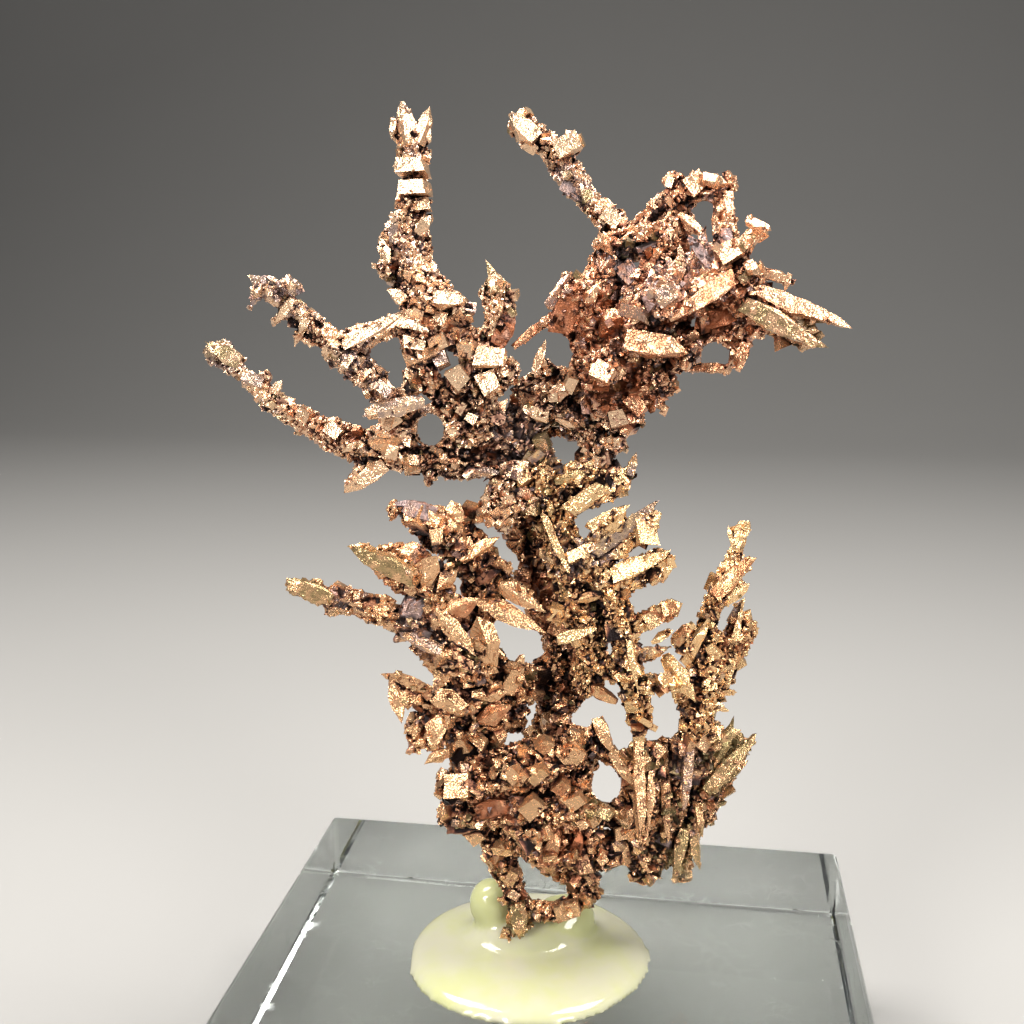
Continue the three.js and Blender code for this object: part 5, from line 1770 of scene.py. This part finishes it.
        Showpiece(Habit.LEAF, (-3.1, 1.2, 36.8), (-0.4, 0.8, 35.4), 1.25, 0.4, 0.65),
        Showpiece(Habit.TONGUE, (-4.9, 0.1, 38.5), (-2.8, 0.2, 39.8), 0.83, 0.5, 1),
        Showpiece(Habit.BLOCK, (-6.7, -0.6, 41), (-5.9, -0.9, 40.6), 0.82, 0.7, 0.95),
        Showpiece(Habit.BLOCK, (-6.2, -0.9, 40.3), (-6, -1.3, 39.6), 0.77, 0.7, 0.9),
        Showpiece(Habit.LEAF, (-5.2, 0.1, 40.6), (-5.5, 0.2, 41.8), 1.22, 0.5, 0.6),
        Showpiece(Habit.TONGUE, (-6.5, -0.5, 41), (-8.6, -0.8, 41.5), 1.15, 0.7, 0.6, Stain.ASH),
        Showpiece(Habit.LEAF, (-6.9, -0.3, 30.6), (-9.3, -0.7, 31.7), 1.4, 0.4, 0.55),
        Showpiece(Habit.LEAF, (-8.9, -0.4, 31.4), (-8.2, -1.3, 29), 1.26, 0.4, 0.45),
        Showpiece(Habit.TONGUE, (-2.5, 1, 30.4), (-1.6, 1, 32.7), 0.98, 0.5, 0.75),
        Showpiece(Habit.LEAF, (-4.2, 0.5, 30.2), (-2.3, 0.4, 30.6), 1.12, 0.5, 0.75),
        Showpiece(Habit.LEAF, (-5.1, -0.5, 29.9), (-7.1, -1, 31), 1.55, 0.35, 0.75),
        Showpiece(Habit.LEAF, (-5.8, -0.3, 27.1), (-7.1, -0.8, 26.4), 0.98, 0.5, 0.65),
        Showpiece(Habit.TONGUE, (-5.9, -1.7, 33.7), (-8, -2.1, 34.7), 0.88, 0.6, 0.7, Stain.ASH),
        Showpiece(Habit.TONGUE, (-4.3, -1, 32.6), (-6.5, -1.4, 33.8), 0.78, 0.6, 0.75),
        Showpiece(Habit.LEAF, (-6.1, -0.9, 29.2), (-6.6, -1.7, 27.8), 1.18, 0.5, 0.6),
        Showpiece(Habit.LEAF, (-4, 0.3, 28.8), (-2.2, 0.4, 29.8), 1.2, 0.5, 0.5, Stain.RUSSET),
        Showpiece(Habit.LEAF, (-5.8, -1.9, 37.4), (-4.8, -1.7, 38.3), 0.99, 0.6, 0.4),
        Showpiece(Habit.TONGUE, (-4, 0.5, 37.1), (-2.6, 0.6, 38), 0.67, 0.6, 0.6),
    ),
    "root_mass": (
        Showpiece(Habit.BLOCK, (-5.9, -0.3, 24.9), (-4.5, -0.5, 25.1), 1.45, 0.5, 1),
        Showpiece(Habit.BLOCK, (-1.1, -0.2, 25.7), (-0.1, -0.3, 26.4), 0.98, 0.8, 1),
        Showpiece(Habit.BLOCK, (-1.4, -0.1, 23.4), (-0.5, -0.1, 24.3), 1.04, 0.8, 0.95),
        Showpiece(Habit.DODECAHEDRON, (-3.7, 0.2, 25.9), (-2.7, 0.2, 26.4), 1.28, 0.9, 0.8),
        Showpiece(Habit.TONGUE, (-4.1, 0.6, 23), (-1.8, 0.8, 23.6), 1.24, 0.6, 0.6, Stain.RUSSET),
        Showpiece(Habit.BLOCK, (1.1, 0.7, 23.7), (2, 0.6, 24.3), 0.82, 0.8, 1),
        Showpiece(Habit.BLOCK, (1.7, 1, 22.3), (2.5, 0.9, 22.9), 0.7, 0.8, 1),
        Showpiece(Habit.BLOCK, (2.2, 2.4, 20.2), (2.7, 2.4, 20.9), 0.66, 0.8, 0.95),
        Showpiece(Habit.TONGUE, (-2.1, 2.2, 15.9), (-1.8, 1.8, 14), 1.17, 0.8, 0.35, Stain.OLIVE),
        Showpiece(Habit.BLOCK, (0.3, 2.4, 15.6), (1.7, 2.5, 16.1), 0.98, 0.9, 0.45),
        Showpiece(Habit.BLOCK, (1.2, 0.9, 26.4), (1.7, 0.9, 27.2), 0.93, 0.8, 0.85),
        Showpiece(Habit.BLOCK, (-0.6, 0.9, 27), (0, 0.8, 27.7), 0.87, 0.8, 0.8),
        Showpiece(Habit.TONGUE, (-6, 1.4, 21.4), (-3.7, 1.5, 21.6), 1.02, 0.7, 0.5),
        Showpiece(Habit.BLOCK, (-2.1, -0.5, 26.2), (-1.5, -0.9, 25.8), 0.92, 0.8, 0.75),
        Showpiece(Habit.TONGUE, (2.6, 2.9, 28.1), (3.5, 2.4, 26.4), 0.83, 0.7, 0.9),
        Showpiece(Habit.TONGUE, (3.5, 2.8, 26.2), (4.8, 2.4, 24.3), 0.83, 0.7, 0.85),
        Showpiece(Habit.BLOCK, (0.4, 0.8, 24.5), (1, 0.7, 25.2), 0.87, 0.8, 0.8, Stain.RUSSET),
        Showpiece(Habit.BLOCK, (2.9, 1, 23.5), (3.7, 0.7, 23.1), 0.82, 0.8, 0.6, Stain.OLIVE),
        Showpiece(Habit.TONGUE, (-0.3, 1, 19.7), (0.6, 1.3, 21.7), 0.95, 0.7, 0.35, Stain.RUSSET),
        Showpiece(Habit.TONGUE, (1.3, 1.8, 19.4), (1.7, 2.1, 21.5), 0.84, 0.7, 0.35, Stain.RUSSET),
        Showpiece(Habit.BLOCK, (-5, 2.1, 20.3), (-4.2, 2, 20.9), 0.91, 0.8, 0.5),
        Showpiece(Habit.BLOCK, (-2.8, 2.3, 17.6), (-2.3, 2.3, 18.3), 0.86, 0.8, 0.35),
        Showpiece(Habit.BLOCK, (2, 3.4, 17.4), (2.5, 3.4, 18), 0.86, 0.8, 0.4),
    ),
}

PATCHES: dict[str, tuple[StainPatch, ...]] = {
    "left_fan": (
        StainPatch(Stain.OLIVE, (-13.2, -3.5, 37.5), 2.2, 0.9),
        StainPatch(Stain.OLIVE, (-9.7, -3.1, 39.4), 2, 0.7),
        StainPatch(Stain.ASH, (-7.3, -1.5, 34.1), 2.2, 0.5),
        StainPatch(Stain.ASH, (-10.9, -2.8, 36.6), 1.6, 0.5),
    ),
    "low_left_arm": (
        StainPatch(Stain.ASH, (-18.8, 2.8, 49.2), 2.4, 0.8),
        StainPatch(Stain.OLIVE, (-19.8, 2.5, 49.8), 1.2, 0.6),
        StainPatch(Stain.RUSSET, (-13.2, 1.2, 45.4), 2.6, 0.35),
    ),
    "high_left_arm": (
        StainPatch(Stain.ASH, (-14.3, -2.5, 53.1), 2.6, 0.8),
        StainPatch(Stain.ASH, (-10.2, -0.9, 49.2), 2.2, 0.5),
        StainPatch(Stain.ASH, (-9.2, 0.4, 46.5), 2, 0.5),
    ),
    "right_blades": (
        StainPatch(Stain.OLIVE, (10.8, 6, 25.4), 3, 0.9),
        StainPatch(Stain.OLIVE, (8.2, 4.8, 18.3), 2.6, 0.8),
        StainPatch(Stain.ASH, (8, 3.9, 25.5), 2, 0.5),
        StainPatch(Stain.OLIVE, (4.6, 2.5, 26.6), 1.6, 0.7),
    ),
    "right_cluster": (
        StainPatch(Stain.RUSSET, (1.7, 1.1, 51.7), 2.8, 0.6),
        StainPatch(Stain.RUSSET, (7.9, 0.2, 52.2), 2.6, 0.55),
        StainPatch(Stain.RUSSET, (3.3, 1.7, 47.8), 3, 0.45),
        StainPatch(Stain.ASH, (5.8, 0.4, 53.3), 1.9, 0.8),
        StainPatch(Stain.ASH, (7.6, 0.8, 55.1), 1.6, 0.6),
        StainPatch(Stain.RUSSET, (9.8, 1, 49.8), 1.6, 0.5),
        StainPatch(Stain.OLIVE, (12.8, 0.4, 50.8), 2.2, 0.55),
        StainPatch(Stain.ASH, (3.3, 2.5, 54.6), 1.4, 0.6),
    ),
    "hub": (
        StainPatch(Stain.OLIVE, (-0.1, 2.6, 44.7), 1.2, 0.8),
        StainPatch(Stain.ASH, (-6.9, 1.4, 50.4), 1.6, 0.6),
        StainPatch(Stain.ASH, (-2, 2.6, 44.8), 2.4, 0.4),
        StainPatch(Stain.OLIVE, (-3.4, 1.3, 53.6), 1.2, 0.6),
    ),
    "right_fern": (
        StainPatch(Stain.ASH, (2.6, 1.3, 39), 1.3, 0.8),
        StainPatch(Stain.ASH, (0.9, 1.4, 38.2), 1.5, 0.6),
        StainPatch(Stain.ASH, (5.8, 1.8, 32.4), 1.6, 0.5),
    ),
    "top_right_arm": (
        StainPatch(Stain.ASH, (0.5, 4.8, 58.7), 2, 0.7),
    ),
    "top_spire": (
        StainPatch(Stain.ASH, (-8, 2.7, 60.4), 0.9, 0.8),
        StainPatch(Stain.ASH, (-7.9, 1.3, 55.5), 1.4, 0.5),
    ),
    "root_mass": (
        StainPatch(Stain.OLIVE, (3, 0.7, 23.1), 1.8, 0.7),
        StainPatch(Stain.OLIVE, (-1.8, 2.1, 14.7), 1.6, 0.7),
        StainPatch(Stain.RUSSET, (0.6, 1.5, 20.9), 2, 0.6),
        StainPatch(Stain.RUSSET, (-3.2, 0.7, 23.2), 1.6, 0.4),
    ),
    "stem": (
        StainPatch(Stain.RUSSET, (-0.7, 3.9, 35), 3, 0.4),
    ),
    "right_fan": (
        StainPatch(Stain.RUSSET, (10.4, 5.5, 32.6), 2, 0.4),
        StainPatch(Stain.OLIVE, (10.7, 4.8, 35.2), 0.9, 0.7),
    ),
}


def branches() -> list[CopperBranch]:
    """Lists the copper's branches with their own growth and finish.

    Returns:
        The branches, from the foot to the tips.
    """
    return [
        CopperBranch("root_mass", BROWN, grain=0.14, block=0.34, block_cover=1.9),
        CopperBranch("stem", BROWN),
        CopperBranch("hub", ASHEN, block=0.23, block_cover=1.3),
        CopperBranch("right_cluster", RUSSET, russet=0.2, ash=0.2),
        CopperBranch(
            "left_fan",
            BROWN,
            grain_cover=5.0,
            block_cover=0.8,
            leaf_length=1.0,
            leaf_cover=0.08,
            facet_pitch=0.8,
            showpiece_cover=1.6,
        ),
        CopperBranch("right_fern", GILT, russet=0.06, ash=0.1),
        CopperBranch("right_blades", BROWN, olive=0.2, brightness=-0.12),
        CopperBranch("right_fan", GILT),
        CopperBranch("low_left_arm", ASHEN, block=0.22, block_cover=1.3),
        CopperBranch("high_left_arm", ASHEN, block=0.22, block_cover=1.3),
        CopperBranch("top_spire", ASHEN, block=0.22, block_cover=1.3),
        CopperBranch("top_right_arm", ASHEN, block=0.22, block_cover=1.3),
        CopperBranch("back_spray", BROWN),
        CopperBranch("back_fan", BROWN),
    ]


def main() -> None:
    """Builds the studio, the block, the glue and every branch."""
    logging.basicConfig(level=logging.INFO, format="%(message)s")
    Studio().build()
    for made in (AcrylicBlock().build(), GluePad().build()):
        LOG.info("%s: %d faces", made.name, len(made.data.polygons))
    grown = branches()
    thicket = Thicket([branch.node for branch in grown])
    for branch in grown:
        made = branch.build(thicket)
        LOG.info("%s: %d faces", made.name, len(made.data.polygons))


if __name__ == "__main__":
    main()
